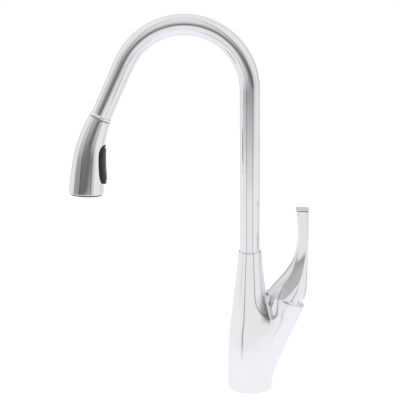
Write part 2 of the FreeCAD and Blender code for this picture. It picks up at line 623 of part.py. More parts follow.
def spray_face():
    blank = ring("face_ring_blank", "sz.rim_radius - sz.face_ring_width", "sz.rim_radius",
                 "-sz.face_proud", "sz.face_thickness", MOUTH, "sz.mouth_tilt")
    wall = cut("face_ring_room", head_loft("ring_room_outside", "0"),
               head_loft("ring_room_inside", "-sz.head_wall - sz.seat_gap / 2"))
    keep("face_ring", cut("face_ring", blank, wall))
    top = "sz.face_thickness - sz.face_proud"
    plate = ring("spray_face", "sz.aerator_radius + sz.seat_gap", "sz.plate_radius", "-sz.face_proud", top,
                 MOUTH, "sz.mouth_tilt")
    mat = ring("nozzle_mat", "sz.aerator_radius + sz.seat_gap", "sz.plate_radius", top,
               top + " + sz.nozzle_mat_thickness", MOUTH, "sz.mouth_tilt")
    circles = (("outer", "sz.nozzle_circle", "sz.nozzle_count"),
               ("inner", "sz.inner_nozzle_circle", "sz.inner_nozzle_count"))
    for label, spread, count in circles:
        polar_holes(plate, "face_%s" % label, "sz.nozzle_radius + sz.seat_gap / 2", spread, count,
                    "-sz.face_proud", "sz.face_thickness", True)
        polar_holes(mat, "pip_%s" % label, "sz.nozzle_radius", spread, count,
                    "-sz.face_proud - sz.nozzle_tip", "sz.face_thickness + sz.nozzle_tip", False)
    keep("spray_face", plate)
    keep("nozzle_mat", mat)
    keep("aerator", ring("aerator", "sz.aerator_radius / 3", "sz.aerator_radius", "-sz.face_proud",
                         "sz.aerator_length - sz.face_proud", MOUTH, "sz.mouth_tilt"))


def spray_core():
    """The waterway between the inlet and the face, with the cross bore of the diverter."""
    foot = along(MOUTH, "sz.mouth_tilt", "sz.core_foot")
    blank = cylinder("core_blank", "sz.core_radius", "sz.core_length", foot, "sz.mouth_tilt")
    socket = cylinder("core_socket", "sz.aerator_radius + sz.seat_gap",
                      "sz.aerator_length - sz.face_proud - sz.core_foot + sz.seat_gap", foot, "sz.mouth_tilt")
    channel = cylinder("core_channel", "sz.valve_radius", "sz.core_length", foot, "sz.mouth_tilt")
    start = along(BUTTON, "sz.middle_tilt", "-sz.spool_drop", "-sz.core_radius * 2")
    bore = cylinder("spool_bore", "sz.spool_radius + sz.running_gap", "sz.core_radius * 4", start,
                    "sz.middle_tilt + 90")
    keep("diverter_housing", cut("diverter_housing", blank, socket, channel, bore))
    spool_foot = along(BUTTON, "sz.middle_tilt", "-sz.spool_drop",
                       "sz.middle_radius - sz.button_depth - sz.free_gap * 2 - sz.spool_length")
    keep("diverter_spool", cylinder("diverter_spool", "sz.spool_radius", "sz.spool_length", spool_foot,
                                    "sz.middle_tilt + 90"))


def spray_button():
    reach = "sz.mouth_radius"
    outer = oval_bar("bezel_bar", "sz.bezel_half_height", "sz.bezel_half_width", "sz.bezel_root", reach)
    opening = oval_bar("bezel_opening", "sz.button_half_height + sz.button_gap",
                       "sz.button_half_width + sz.button_gap", "sz.bezel_root - sz.head_wall",
                       reach + " + sz.head_wall * 2")
    pin_at = along(BUTTON, "sz.middle_tilt", "0", "sz.button_pin_depth")
    frame = cut("bezel_frame", outer, opening,
                pin("bezel_pin_hole", "sz.button_pin_radius + sz.seat_gap / 4", pin_at, "sz.mouth_radius"))
    keep("button_bezel", common("button_bezel", frame, head_loft("bezel_skin", "sz.bezel_proud")))
    keep("button_pin", pin("button_pin", "sz.button_pin_radius", pin_at,
                           "sz.bezel_half_width - sz.button_gap"))
    bar = oval_bar("button_bar", "sz.button_half_height", "sz.button_half_width", "sz.bezel_root", reach)
    skin = common("button_skin", bar, head_loft("button_outside", "sz.button_proud"))
    cap = cut("button_cap", skin, head_loft("button_inside", "-sz.button_depth"))
    lug_foot = along(BUTTON, "sz.middle_tilt", "0", "sz.bezel_root")
    lug_height = "sz.middle_radius - sz.bezel_root + sz.button_proud / 2"
    lug = block("button_lug", "sz.button_pin_radius * 4.4", "sz.button_lug_width", lug_height, lug_foot,
                "sz.middle_tilt + 90")
    blank = fuse("button_blank", cap, lug)
    keep("rocker_button", cut("rocker_button", blank,
                              pin("button_pin_hole", "sz.button_pin_radius + sz.running_gap", pin_at,
                                  "sz.bezel_half_width")))


def pin(name, radius, at, half_length):
    """A pin along Y, centred on the plane of symmetry."""
    thing = doc.addObject("Part::Cylinder", name)
    bind(thing, "Radius", radius)
    bind(thing, "Height", "2 * (%s)" % half_length)
    bind(thing, "Placement", "placement(vector(%s; -(%s); %s); rotation(vector(1; 0; 0); -90))"
                        % (at[0], half_length, at[1]))
    return thing


# ---------------------------------------------------------------- cartridge
def cartridge():
    seat = along(ORIGIN, "sz.arm_tilt", "sz.cartridge_seat")
    tilt = "sz.arm_tilt"
    floor = "sz.cartridge_wall"
    wall = "sz.cartridge_radius - sz.cartridge_wall"
    skirt = "sz.cartridge_skirt"
    top = "sz.cartridge_skirt + sz.cartridge_neck_height"
    throat = "sz.rotor_radius + sz.running_gap"
    keep("cartridge_housing", turned("cartridge_housing", [
        ("sz.disc_radius", "0"), ("sz.cartridge_radius", "0"), ("sz.cartridge_radius", skirt),
        ("sz.cartridge_neck_radius", skirt), ("sz.cartridge_neck_radius", top), (throat, top),
        (throat, skirt + " - sz.cartridge_wall"), (wall, skirt + " - sz.cartridge_wall"),
        (wall, floor), ("sz.disc_radius", floor),
    ], seat, tilt))
    keep("fixed_disc", ported_disc("fixed_disc", wall + " - sz.seat_gap", floor,
                                   floor + " + sz.disc_thickness", seat))
    lower = floor + " + sz.disc_thickness + sz.running_gap"
    keep("moving_disc", ring("moving_disc", "sz.finger_radius", "sz.moving_disc_radius", lower,
                             lower + " + sz.disc_thickness", seat, tilt))
    rotor_foot = skirt + " - sz.cartridge_wall - sz.free_gap - sz.disc_thickness"
    rotor_top = top + " - sz.running_gap"
    pocket = "sz.finger_radius + sz.finger_room"
    carrier_foot = lower + " + sz.disc_thickness"
    pocket_floor = carrier_foot + " + sz.cartridge_wall"
    carrier_top = rotor_foot + " - sz.free_gap"
    keep("disc_carrier", turned("disc_carrier", [
        ("0", carrier_foot), ("sz.carrier_radius", carrier_foot), ("sz.carrier_radius", carrier_top),
        (pocket, carrier_top), (pocket, pocket_floor), ("0", pocket_floor),
    ], seat, tilt))
    blank = turned("rotor_blank", [
        ("0", rotor_foot), (wall + " - sz.free_gap", rotor_foot),
        (wall + " - sz.free_gap", skirt + " - sz.cartridge_wall - sz.running_gap"),
        ("sz.rotor_radius", skirt + " - sz.cartridge_wall - sz.running_gap"),
        ("sz.rotor_radius", rotor_top), ("0", rotor_top),
    ], seat, tilt)
    slot = block("rotor_slot", "sz.rotor_radius * 1.5", "(sz.stem_half + sz.free_gap) * 2", "sz.arm_length",
                 along(seat, tilt, rotor_foot + " - 1"), tilt)
    pin_hole = pin("rotor_pin_hole", "sz.stem_pin_radius", PIVOT, "sz.rotor_radius + 2")
    keep("cartridge_rotor", cut("cartridge_rotor", blank, slot, pin_hole))
    keep("stem_pin", pin("stem_pin", "sz.stem_pin_radius", PIVOT, "sz.rotor_radius - 0.6"))
    seals = []
    for number, turn in enumerate(("sz.port_angle", "0", "-sz.port_angle"), start=1):
        aside = port_place(turn)[1]
        hole = cylinder("seal_hole_%d" % number, "sz.drill_radius", "sz.cartridge_wall", seat, tilt, aside)
        rim = cylinder("seal_rim_%d" % number, "sz.drill_radius + sz.seal_wall", "sz.cartridge_wall", seat,
                       tilt, aside)
        seals.append(cut("seal_%d" % number, rim, hole))
    group = doc.addObject("Part::Compound", "cartridge_seals")
    group.Links = seals
    keep("cartridge_seals", group)


def ported_disc(name, radius, foot, top, seat):
    blank = ring(name + "_blank", "sz.drill_radius / 2", radius, foot, top, seat, "sz.arm_tilt")
    holes = []
    for number, turn in enumerate(("sz.port_angle", "-sz.port_angle"), start=1):
        holes.append(cylinder("%s_port_%d" % (name, number), "sz.drill_radius", "sz.arm_length",
                              along(seat, "sz.arm_tilt", "0"), "sz.arm_tilt", port_place(turn)[1]))
    return cut(name, blank, *holes)


def cartridge_cover():
    keep("cartridge_nut", ring("cartridge_nut", "sz.cartridge_neck_radius + sz.seat_gap", "sz.nut_radius",
                               "sz.nut_foot", "-sz.bonnet_flange - sz.seat_gap", RIM, "sz.arm_tilt"))
    ball = doc.addObject("Part::Sphere", "bonnet_ball")
    bind(ball, "Radius", "sz.bonnet_ball")
    place(ball, PIVOT, "sz.arm_tilt")
    hollow = doc.addObject("Part::Sphere", "bonnet_hollow")
    bind(hollow, "Radius", "sz.bonnet_ball - sz.bonnet_wall")
    place(hollow, PIVOT, "sz.arm_tilt")
    skirt = cylinder("bonnet_skirt", "sz.nut_radius", "sz.bonnet_flange + sz.seat_gap",
                     along(RIM, "sz.arm_tilt", "-sz.bonnet_flange"), "sz.arm_tilt")
    flange = cylinder("bonnet_flange", "sz.arm_radius - 0.4", "sz.bonnet_flange / 2",
                      along(RIM, "sz.arm_tilt", "sz.seat_gap / 2"), "sz.arm_tilt")
    under = cylinder("bonnet_under", "sz.bonnet_ball * 2", "sz.bonnet_ball * 2",
                     along(RIM, "sz.arm_tilt", "-sz.bonnet_flange - sz.bonnet_ball * 2"), "sz.arm_tilt")
    waist = cylinder("bonnet_waist", "sz.arm_radius", "sz.arm_length", RIM, "sz.arm_tilt")
    cap = common("bonnet_cap", ball, waist)
    slot = cylinder("bonnet_slot", "sz.rotor_radius + sz.free_gap", "sz.arm_length", PIVOT, "sz.arm_tilt")
    blank = fuse("bonnet_blank", cap, skirt, flange)
    keep("bonnet", cut("bonnet", blank, hollow, under, slot))


# ---------------------------------------------------------------- lever
def lever():
    """A hub that narrows up into an upright blade."""
    foot = along(RIM, "sz.arm_tilt", "0")
    turn = "rotation(vector(0; 1; 0); %s) * rotation(vector(0; 0; 1); 90)"
    sections = [ellipse("lever_foot", "sz.hub_radius + 0.01", "sz.hub_radius", foot, turn % "sz.arm_tilt")]
    rows = (("hub", "sz.arm_tilt * 0.6"), ("flank", "sz.arm_tilt * 0.3"), ("throat", "0"), ("blade", "0"),
            ("tip", "0"))
    for label, tilt in rows:
        centre = (RIM[0] + " + sz.lever_%s_shift" % label, RIM[1] + " + sz.lever_%s_rise" % label)
        sections.append(ellipse("lever_" + label, "sz.lever_%s_deep" % label, "sz.lever_%s_wide" % label,
                                centre, turn % tilt))
    blank = loft("lever_blank", sections)
    hollow = doc.addObject("Part::Sphere", "lever_hollow")
    bind(hollow, "Radius", "sz.bonnet_ball + sz.skirt_hollow_gap")
    place(hollow, PIVOT, "sz.arm_tilt")
    skirt_plane = along(RIM, "sz.arm_tilt", "sz.skirt_gap - sz.bonnet_ball * 2")
    level = cylinder("lever_level", "sz.bonnet_ball * 2", "sz.bonnet_ball * 2 + sz.bonnet_flange",
                     skirt_plane, "sz.arm_tilt")
    lift_plane = along(PIVOT, "(sz.arm_tilt - sz.lever_lift)",
                       "sz.pivot_depth + sz.skirt_gap + sz.bonnet_flange - sz.bonnet_ball * 2")
    wedge = cylinder("lever_wedge", "sz.bonnet_ball * 2", "sz.bonnet_ball * 2", lift_plane,
                     "(sz.arm_tilt - sz.lever_lift)")
    socket = block("stem_socket", "sz.stem_half * 2 + sz.seat_gap", "sz.stem_half * 2 + sz.seat_gap",
                   "sz.stem_top + sz.pivot_depth + sz.seat_gap", PIVOT, "sz.arm_tilt")
    screw_seat = along(RIM, "sz.arm_tilt", "sz.screw_rise", "-sz.hub_radius * 2")
    tapping = cylinder("screw_way", "sz.plug_radius + sz.seat_gap / 2", "sz.hub_radius * 2", screw_seat,
                       "sz.arm_tilt + 90")
    keep("lever", cut("lever", blank, hollow, level, wedge, socket, tapping))
    stem_foot = along(PIVOT, "sz.arm_tilt", "-sz.stem_pin_radius * 2")
    post = block("stem_post", "sz.stem_half * 2", "sz.stem_half * 2",
                 "sz.stem_top + sz.pivot_depth + sz.stem_pin_radius * 2", stem_foot, "sz.arm_tilt")
    finger = cylinder("stem_finger", "sz.finger_radius", "sz.finger_reach",
                      along(PIVOT, "sz.arm_tilt", "-sz.finger_reach"), "sz.arm_tilt")
    hole = pin("stem_pin_hole", "sz.stem_pin_radius + sz.running_gap", PIVOT, "sz.rotor_radius")
    keep("cartridge_stem", cut("cartridge_stem", fuse("stem_blank", post, finger), hole))
    screw_foot = along(RIM, "sz.arm_tilt", "sz.screw_rise",
                       "-sz.stem_half - sz.seat_gap / 2 - sz.screw_length")
    grub = cylinder("grub_blank", "sz.screw_radius", "sz.screw_length", screw_foot, "sz.arm_tilt + 90")
    key = doc.addObject("Part::Prism", "grub_key")
    key.Polygon = 6
    bind(key, "Circumradius", "sz.screw_radius / 2")
    bind(key, "Height", "sz.screw_length / 2")
    place(key, screw_foot, "sz.arm_tilt + 90")
    keep("lever_grub_screw", cut("lever_grub_screw", grub, key))
    plug_foot = along(RIM, "sz.arm_tilt", "sz.screw_rise",
                      "-sz.stem_half - sz.seat_gap / 2 - sz.screw_length - sz.plug_length - sz.seat_gap")
    keep("index_plug", cylinder("index_plug", "sz.plug_radius", "sz.plug_length", plug_foot,
                                "sz.arm_tilt + 90"))


body_casting()
deck_hardware()
outlet_and_guide()
swivel_fittings()
spout_tube()
spray_hose()
head_shell()
head_inlet()
spray_face()
spray_core()
spray_button()
cartridge()
cartridge_cover()
lever()
doc.recompute()

faults = [thing.Name for thing in doc.Objects if {"Invalid", "Error"} & set(thing.State)]
for label, thing in PARTS.items():
    if thing.Shape.isNull() or not thing.Shape.isValid():
        faults.append(label)
if faults:
    raise SystemExit("failed: " + ", ".join(faults))

os.makedirs("parts", exist_ok=True)
for label, thing in PARTS.items():
    thing.Shape.exportStep(os.path.join("parts", label + ".step"))
print(len(PARTS), "sub-parts")
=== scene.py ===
"""Pull down kitchen faucet: finishes, refined pieces and the stage, built around the fixed frame."""

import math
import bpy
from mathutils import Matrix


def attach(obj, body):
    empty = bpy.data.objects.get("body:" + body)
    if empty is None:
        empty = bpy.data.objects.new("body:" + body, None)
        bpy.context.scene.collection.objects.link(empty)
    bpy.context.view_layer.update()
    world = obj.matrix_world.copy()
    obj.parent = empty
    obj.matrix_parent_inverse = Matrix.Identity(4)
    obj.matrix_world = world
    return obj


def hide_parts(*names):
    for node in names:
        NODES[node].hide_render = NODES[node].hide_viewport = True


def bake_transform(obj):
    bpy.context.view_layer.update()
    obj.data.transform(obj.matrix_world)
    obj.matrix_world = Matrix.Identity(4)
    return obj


bl_info = {
    "name": "Pull Down Faucet",
    "version": (1, 0, 0),
    "blender": (4, 5, 0),
    "location": "View3D > Sidebar > Faucet",
    "description": "Builds the finishes and the refined pieces of a pull down kitchen faucet",
    "category": "Add Mesh",
}

import bmesh
import bpy
from mathutils import Matrix, Vector

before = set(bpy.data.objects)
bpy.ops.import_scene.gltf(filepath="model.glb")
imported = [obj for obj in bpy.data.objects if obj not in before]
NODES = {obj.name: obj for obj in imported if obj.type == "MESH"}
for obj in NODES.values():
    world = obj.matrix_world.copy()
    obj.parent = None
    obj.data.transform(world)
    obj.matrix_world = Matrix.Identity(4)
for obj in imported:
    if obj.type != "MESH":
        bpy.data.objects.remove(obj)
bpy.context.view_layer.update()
MM = 0.001


# -------- sizes and colours
class FaucetStageSizes(bpy.types.PropertyGroup):
    camera_place: bpy.props.FloatVectorProperty(
        name="Camera place", description="Where the camera stands", size=3,
        default=(-0.059, -1.100, 0.442), subtype="XYZ", unit="LENGTH")
    camera_pitch: bpy.props.FloatProperty(
        name="Camera pitch", description="How far the camera looks down",
        default=math.radians(10.8), subtype="ANGLE", unit="ROTATION")
    camera_roll: bpy.props.FloatProperty(
        name="Camera roll", description="How far the camera leans to the right",
        default=math.radians(0.56), subtype="ANGLE", unit="ROTATION")
    focal_length: bpy.props.FloatProperty(
        name="Focal length", description="Focal length on a 36 mm sensor, in millimetres", default=85.2)
    floor_size: bpy.props.FloatProperty(
        name="Floor size", description="Side of the floor", default=14.0, subtype="DISTANCE", unit="LENGTH")
    table_reach: bpy.props.FloatProperty(
        name="Table reach", description="How far the evenly bright table reaches round the faucet",
        default=0.36, subtype="DISTANCE", unit="LENGTH")
    card_distance: bpy.props.FloatProperty(
        name="Card distance", description="How far before the faucet the low pale card stands", default=0.3,
        subtype="DISTANCE", unit="LENGTH")
    card_width: bpy.props.FloatProperty(
        name="Card width", description="Width of the low pale card", default=1.6, subtype="DISTANCE",
        unit="LENGTH")
    light_strength: bpy.props.FloatProperty(
        name="Light", description="Strength of the white studio all round", default=1.0)


class FaucetFinishes(bpy.types.PropertyGroup):
    chrome_colour: bpy.props.FloatVectorProperty(
        name="Chrome", description="Tint of the polished chrome", size=3, subtype="COLOR",
        default=(0.93, 0.94, 0.96), min=0.0, max=1.0)
    chrome_roughness: bpy.props.FloatProperty(
        name="Chrome roughness", description="Blur of the chrome's reflections", default=0.025,
        subtype="FACTOR")
    brass_colour: bpy.props.FloatVectorProperty(
        name="Brass", description="Colour of the bare brass fittings", size=3, subtype="COLOR",
        default=(0.72, 0.50, 0.20), min=0.0, max=1.0)
    bezel_colour: bpy.props.FloatVectorProperty(
        name="Bezel", description="Colour of the black plastic", size=3, subtype="COLOR",
        default=(0.004, 0.004, 0.006), min=0.0, max=1.0)
    button_colour: bpy.props.FloatVectorProperty(
        name="Button", description="Colour of the grey rubber", size=3, subtype="COLOR",
        default=(0.062, 0.05, 0.045), min=0.0, max=1.0)


class FaucetPieceSizes(bpy.types.PropertyGroup):
    casting_wall: bpy.props.FloatProperty(
        name="Casting wall", description="Wall of the cast body and of the lever", default=0.0015,
        subtype="DISTANCE", unit="LENGTH")
    head_wall: bpy.props.FloatProperty(
        name="Head wall", description="Wall of the spray head's shell", default=0.0019, subtype="DISTANCE",
        unit="LENGTH")
    hose_radius: bpy.props.FloatProperty(
        name="Hose radius", description="Radius of the braided hose", default=0.006, subtype="DISTANCE",
        unit="LENGTH")
    lever_lift: bpy.props.FloatProperty(
        name="Lever lift", description="How far the lever tips before its skirt meets the rim",
        default=math.radians(18), subtype="ANGLE", unit="ROTATION")


# -------- shader helpers
def new_group(name, inputs, outputs):
    """A node group and its two ends. An input without a value is a colour; outputs are given by kind."""
    group = bpy.data.node_groups.new(name, "ShaderNodeTree")
    for label, value in inputs.items():
        kind = "NodeSocketColor" if value is None else "NodeSocketFloat"
        socket = group.interface.new_socket(name=label, in_out="INPUT", socket_type=kind)
        if value is not None:
            socket.default_value = value
    for label, kind in outputs.items():
        group.interface.new_socket(name=label, in_out="OUTPUT", socket_type="NodeSocket" + kind)
    return group, group.nodes.new("NodeGroupInput"), group.nodes.new("NodeGroupOutput")


def add_group(tree, name, **values):
    """Puts a shared group into a tree with its own values; the group is built when first asked for."""
    made = tree.nodes.new("ShaderNodeGroup")
    made.node_tree = bpy.data.node_groups.get(name) or GROUPS[name](name)
    for label, value in values.items():
        made.inputs[label].default_value = value
    return made


def math_node(tree, operation, *values):
    """A sum of numbers and sockets."""
    made = tree.nodes.new("ShaderNodeMath")
    made.operation = operation
    for number, value in enumerate(values):
        if isinstance(value, (int, float)):
            made.inputs[number].default_value = value
        else:
            tree.links.new(value, made.inputs[number])
    return made.outputs[0]


def step_node(tree, source, none, full):
    """A mask that rises smoothly from none to full."""
    spread = tree.nodes.new("ShaderNodeMapRange")
    spread.interpolation_type = "SMOOTHSTEP"
    spread.inputs["From Min"].default_value = min(none, full)
    spread.inputs["From Max"].default_value = max(none, full)
    spread.inputs["To Min"].default_value = 0.0 if none < full else 1.0
    spread.inputs["To Max"].default_value = 1.0 if none < full else 0.0
    tree.links.new(source, spread.inputs["Value"])
    return spread.outputs["Result"]


def colour_mix(tree, factor, none, full):
    """A colour that goes from none to full with the factor; each is a colour or a socket."""
    mix = tree.nodes.new("ShaderNodeMix")
    mix.data_type = "RGBA"
    for label, value in (("Factor", factor), ("A", none), ("B", full)):
        if isinstance(value, tuple):
            mix.inputs[label].default_value = value
        else:
            tree.links.new(value, mix.inputs[label])
    return mix.outputs["Result"]


def parts_of(tree, vector):
    """The X, Y and Z of a place or a direction."""
    parts = tree.nodes.new("ShaderNodeSeparateXYZ")
    tree.links.new(vector, parts.inputs[0])
    return parts.outputs


def place_on(tree, kind="Object"):
    """The place on the piece, or the direction that the world is seen in."""
    return tree.nodes.new("ShaderNodeTexCoord").outputs[kind]


def noise(tree, scale, detail):
    """Cloudy noise over the piece."""
    made = tree.nodes.new("ShaderNodeTexNoise")
    made.inputs["Detail"].default_value = detail
    tree.links.new(place_on(tree), made.inputs["Vector"])
    tree.links.new(scale, made.inputs["Scale"])
    return made.outputs["Fac"]


def bump_node(tree, height, distance, strength):
    """A normal from a height; the strength is a number or a socket."""
    bump = tree.nodes.new("ShaderNodeBump")
    bump.inputs["Distance"].default_value = distance
    if isinstance(strength, float):
        bump.inputs["Strength"].default_value = strength
    else:
        tree.links.new(strength, bump.inputs["Strength"])
    tree.links.new(height, bump.inputs["Height"])
    return bump.outputs["Normal"]


# -------- shared effects
HAZE_SPREAD = (0.3, 0.8)    # the noise between these goes from the low to the high roughness
SCRATCH_FINENESS = 14.0     # how much finer the scratches are than the haze


def fine_marks_group(name):
    """Polishing haze and hairline scratches: a roughness and a normal."""
    group, inside, outside = new_group(name, {"Scale": 60.0, "Low": 0.02, "High": 0.08, "Bump": 0.02},
                                       {"Roughness": "Float", "Normal": "Vector"})
    links = group.links
    spread = group.nodes.new("ShaderNodeMapRange")
    links.new(noise(group, inside.outputs["Scale"], 5.0), spread.inputs["Value"])
    spread.inputs["From Min"].default_value, spread.inputs["From Max"].default_value = HAZE_SPREAD
    links.new(inside.outputs["Low"], spread.inputs["To Min"])
    links.new(inside.outputs["High"], spread.inputs["To Max"])
    links.new(spread.outputs["Result"], outside.inputs["Roughness"])
    finer = math_node(group, "MULTIPLY", inside.outputs["Scale"], SCRATCH_FINENESS)
    scratches = bump_node(group, noise(group, finer, 3.0), 0.0002, inside.outputs["Bump"])
    links.new(scratches, outside.inputs["Normal"])
    return group


def tone_group(name):
    """A colour that drifts a little between two tones, as moulded and cast things do."""
    group, inside, outside = new_group(name, {"Scale": 25.0, "Light": None, "Dark": None}, {"Color": "Color"})
    drift = noise(group, inside.outputs["Scale"], 4.0)
    group.links.new(colour_mix(group, drift, inside.outputs["Light"], inside.outputs["Dark"]),
                    outside.inputs["Color"])
    return group


# painted shade and painted reflection in the crook of the fork, in metres: a point (X, Z) on its right edge
# and that edge's slope, how far it reaches to the left of it, and the heights between which it comes in and
# goes out
CROOK_EDGE = (0.0185, 0.109)
CROOK_SLOPE = 0.234
CROOK_REACH = 0.013
CROOK_HEIGHTS = (0.083, 0.093, 0.102, 0.124)
CROOK_INSIDE = -0.001    # where it is darkest, from that edge
CROOK_BLUR = 0.0006
# the painted shade's colour, which the chrome turns to in the crook: a painted reflection of its own dark
# flank
CROOK_PAINTED_SHADE = (0.24, 0.235, 0.23, 1)


def crook_painted_shade_group(name):
    """A mask for the painted shade in the crook of the fork, a painted reflection of the metal's own dark
    flank.
    """
    group, _, outside = new_group(name, {}, {"Mask": "Float"})
    parts = parts_of(group, place_on(group))
    across, height = CROOK_EDGE
    fall = math_node(group, "MULTIPLY_ADD", parts["Z"], CROOK_SLOPE, -across - height * CROOK_SLOPE)
    from_edge = math_node(group, "ADD", parts["X"], fall)
    start, full, fade, end = CROOK_HEIGHTS
    mask = step_node(group, from_edge, -CROOK_REACH, CROOK_INSIDE)
    for source, low, high in ((from_edge, CROOK_BLUR, -CROOK_BLUR), (parts["Z"], start, full),
                              (parts["Z"], end, fade)):
        mask = math_node(group, "MULTIPLY", mask, step_node(group, source, low, high))
    group.links.new(mask, outside.inputs["Mask"])
    return group


def strand_group(name):
    """Strands that cross both ways round a hose: how high they stand, from the place round and along."""
    group, inside, outside = new_group(name, {"Around": 0.0, "Along": 0.0, "Strands": 9.0},
                                       {"Height": "Float"})
    strands = math_node(group, "MULTIPLY", inside.outputs["Around"], inside.outputs["Strands"])
    waves = []
    for way in (1.0, -1.0):
        step = math_node(group, "MULTIPLY_ADD", inside.outputs["Along"], way, strands)
        waves.append(math_node(group, "SINE", math_node(group, "MULTIPLY", step, 2 * math.pi)))
    high = math_node(group, "MAXIMUM", *waves)
    group.links.new(math_node(group, "MULTIPLY_ADD", high, 0.5, 0.5), outside.inputs["Height"])
    return group


GROUPS = {"fine_marks": fine_marks_group, "two_tones": tone_group, "crook": crook_painted_shade_group,
          "crossed_strands": strand_group}


# -------- finishes
def finish(name, colour, metallic, low, high, scale=60.0, bump=0.02, drift=0.06, coat=0.0, sheen=0.0):
    """A material with drifting tone, uneven roughness and a fine surface."""
    made = bpy.data.materials.get(name)
    if made:
        return made
    made = bpy.data.materials.new(name)
    made.use_nodes = True
    tree = made.node_tree
    shader = tree.nodes["Principled BSDF"]
    for label, value in (("Metallic", metallic), ("Coat Weight", coat), ("Sheen Weight", sheen),
                         ("Sheen Roughness", 0.4), ("Sheen Tint", (1.0, 0.86, 0.78, 1.0))):
        shader.inputs[label].default_value = value
    tones = add_group(tree, "two_tones", Scale=scale / 2, Light=(*colour, 1.0),
                      Dark=(*(c * (1 - drift) for c in colour), 1.0))
    marks = add_group(tree, "fine_marks", Scale=scale, Low=low, High=high, Bump=bump)
    tree.links.new(tones.outputs["Color"], shader.inputs["Base Color"])
    tree.links.new(marks.outputs["Roughness"], shader.inputs["Roughness"])
    tree.links.new(marks.outputs["Normal"], shader.inputs["Normal"])
    return made


def chrome(name):
    """Polished chrome, as the user sets it."""
    looks = bpy.context.scene.faucet_finishes
    rough = looks.chrome_roughness
    return finish(name, looks.chrome_colour, 1.0, rough, rough * 2, 30.0, 0.0, 0.02)


def body_chrome_with_painted_shade():
    """Polished chrome with painted shade in the crook of the fork, which darkens its colour there."""
    made = chrome("body_chrome")
    tree = made.node_tree
    base = tree.nodes["Principled BSDF"].inputs["Base Color"]
    # painted shade: the crook's mask darkens the chrome's colour
    mask = add_group(tree, "crook").outputs["Mask"]
    tree.links.new(colour_mix(tree, mask, base.links[0].from_socket, CROOK_PAINTED_SHADE), base)
    return made


WEAVE_GAP = (0.05, 0.05, 0.055, 1)
WEAVE_PER_METRE = 330.0


def braid_finish(name, mapped):
    """Braided nylon: its weave follows the piece's own map, or the distance along the upright."""
    made = bpy.data.materials.get(name)
    if made:
        return made
    made = finish(name, (0.33, 0.33, 0.34), 0.0, 0.4, 0.6, 200.0, 0.1, 0.25)
    tree = made.node_tree
    shader = tree.nodes["Principled BSDF"]
    weave = add_group(tree, "crossed_strands")
    if mapped:
        place = tree.nodes.new("ShaderNodeUVMap")
        place.uv_map = "weave"
        parts = parts_of(tree, place.outputs["UV"])
        around, along = parts["X"], parts["Y"]
    else:
        parts = parts_of(tree, place_on(tree))
        turn = math_node(tree, "ARCTAN2", parts["Y"], parts["X"])
        around = math_node(tree, "MULTIPLY", turn, 0.5 / math.pi)
        along = math_node(tree, "MULTIPLY", parts["Z"], WEAVE_PER_METRE)
    tree.links.new(around, weave.inputs["Around"])
    tree.links.new(along, weave.inputs["Along"])
    height = weave.outputs["Height"]
    tree.links.new(bump_node(tree, height, 0.0006, 0.6), shader.inputs["Normal"])
    base = shader.inputs["Base Color"]
    tree.links.new(colour_mix(tree, height, WEAVE_GAP, base.links[0].from_socket), base)
    return made


def finishes():
    """Every finish of the faucet, by the slot that it belongs to."""
    looks = bpy.context.scene.faucet_finishes
    return {
        "polished_chrome": chrome("polished_chrome_finish"),
        "brass": finish("bare_brass", looks.brass_colour, 1.0, 0.22, 0.38, 80.0, 0.12, 0.2),
        "steel": finish("turned_steel", (0.56, 0.57, 0.58), 1.0, 0.2, 0.36, 90.0, 0.1, 0.12),
        "black_plastic": finish("black_gloss_plastic", looks.bezel_colour, 0.0, 0.16, 0.26, 60.0, 0.03, 0.2),
        "grey_plastic": finish("grey_moulded_plastic", (0.23, 0.235, 0.245), 0.0, 0.35, 0.5, 60.0, 0.06, 0.1),
        "white_plastic": finish("white_moulded_plastic", (0.78, 0.77, 0.74), 0.0, 0.3, 0.45, 60.0, 0.06,
                                0.06),
        "grey_rubber": finish("grey_soft_rubber", looks.button_colour, 0.0, 0.42, 0.6, 120.0, 0.2, 0.15,
                              sheen=0.35),
        "black_rubber": finish("black_seal_rubber", (0.02, 0.02, 0.021), 0.0, 0.5, 0.7, 120.0, 0.2, 0.2),
        "ceramic": finish("white_ceramic", (0.82, 0.81, 0.78), 0.0, 0.08, 0.16, 50.0, 0.02, 0.04, 0.5),
        "hose_braid": braid_finish("braided_nylon", False),
        "index_colour": finish("index_enamel", (0.55, 0.04, 0.03), 0.0, 0.15, 0.25, 60.0, 0.02, 0.1, 0.5),
    }


def paint(obj, material):
    """Puts a finish on every slot of an object."""
    if not obj.material_slots:
        obj.data.materials.append(material)
    for place in obj.material_slots:
        place.material = material


# -------- modelling helpers
# how much a ring of sixteen corners is grown, so that its smoothed round keeps the size that is meant
ROUND_UP = 1.024


def deselect():
    """Leaves edit mode and selects nothing."""
    if bpy.context.mode != "OBJECT":
        bpy.ops.object.mode_set(mode="OBJECT")
    bpy.ops.object.select_all(action="DESELECT")


def put_corners(made, ring, corners):
    """Moves each corner of a ring to its place, in millimetres."""
    for number, corner in zip(ring, corners):
        mesh = bmesh.from_edit_mesh(made.data)
        mesh.verts.ensure_lookup_table()
        for vert in mesh.verts:
            vert.select = False
        vert = mesh.verts[number]
        vert.select = True
        mesh.select_flush(True)
        bpy.ops.transform.translate(value=Vector(corner) * MM - vert.co)


def pick(made, *runs):
    """Selects the corners of these rings or runs, and the edges between neighbours in them."""
    mesh = bmesh.from_edit_mesh(made.data)
    mesh.verts.ensure_lookup_table()
    for part in (*mesh.faces, *mesh.edges, *mesh.verts):
        part.select = False
    for run in runs:
        for number in run:
            mesh.verts[number].select = True
    pairs = {frozenset(pair) for run in runs for pair in zip(run, [*run[1:], run[0]])}
    for edge in mesh.edges:
        if frozenset(vert.index for vert in edge.verts) in pairs:
            edge.select = True
    bmesh.update_edit_mesh(made.data)


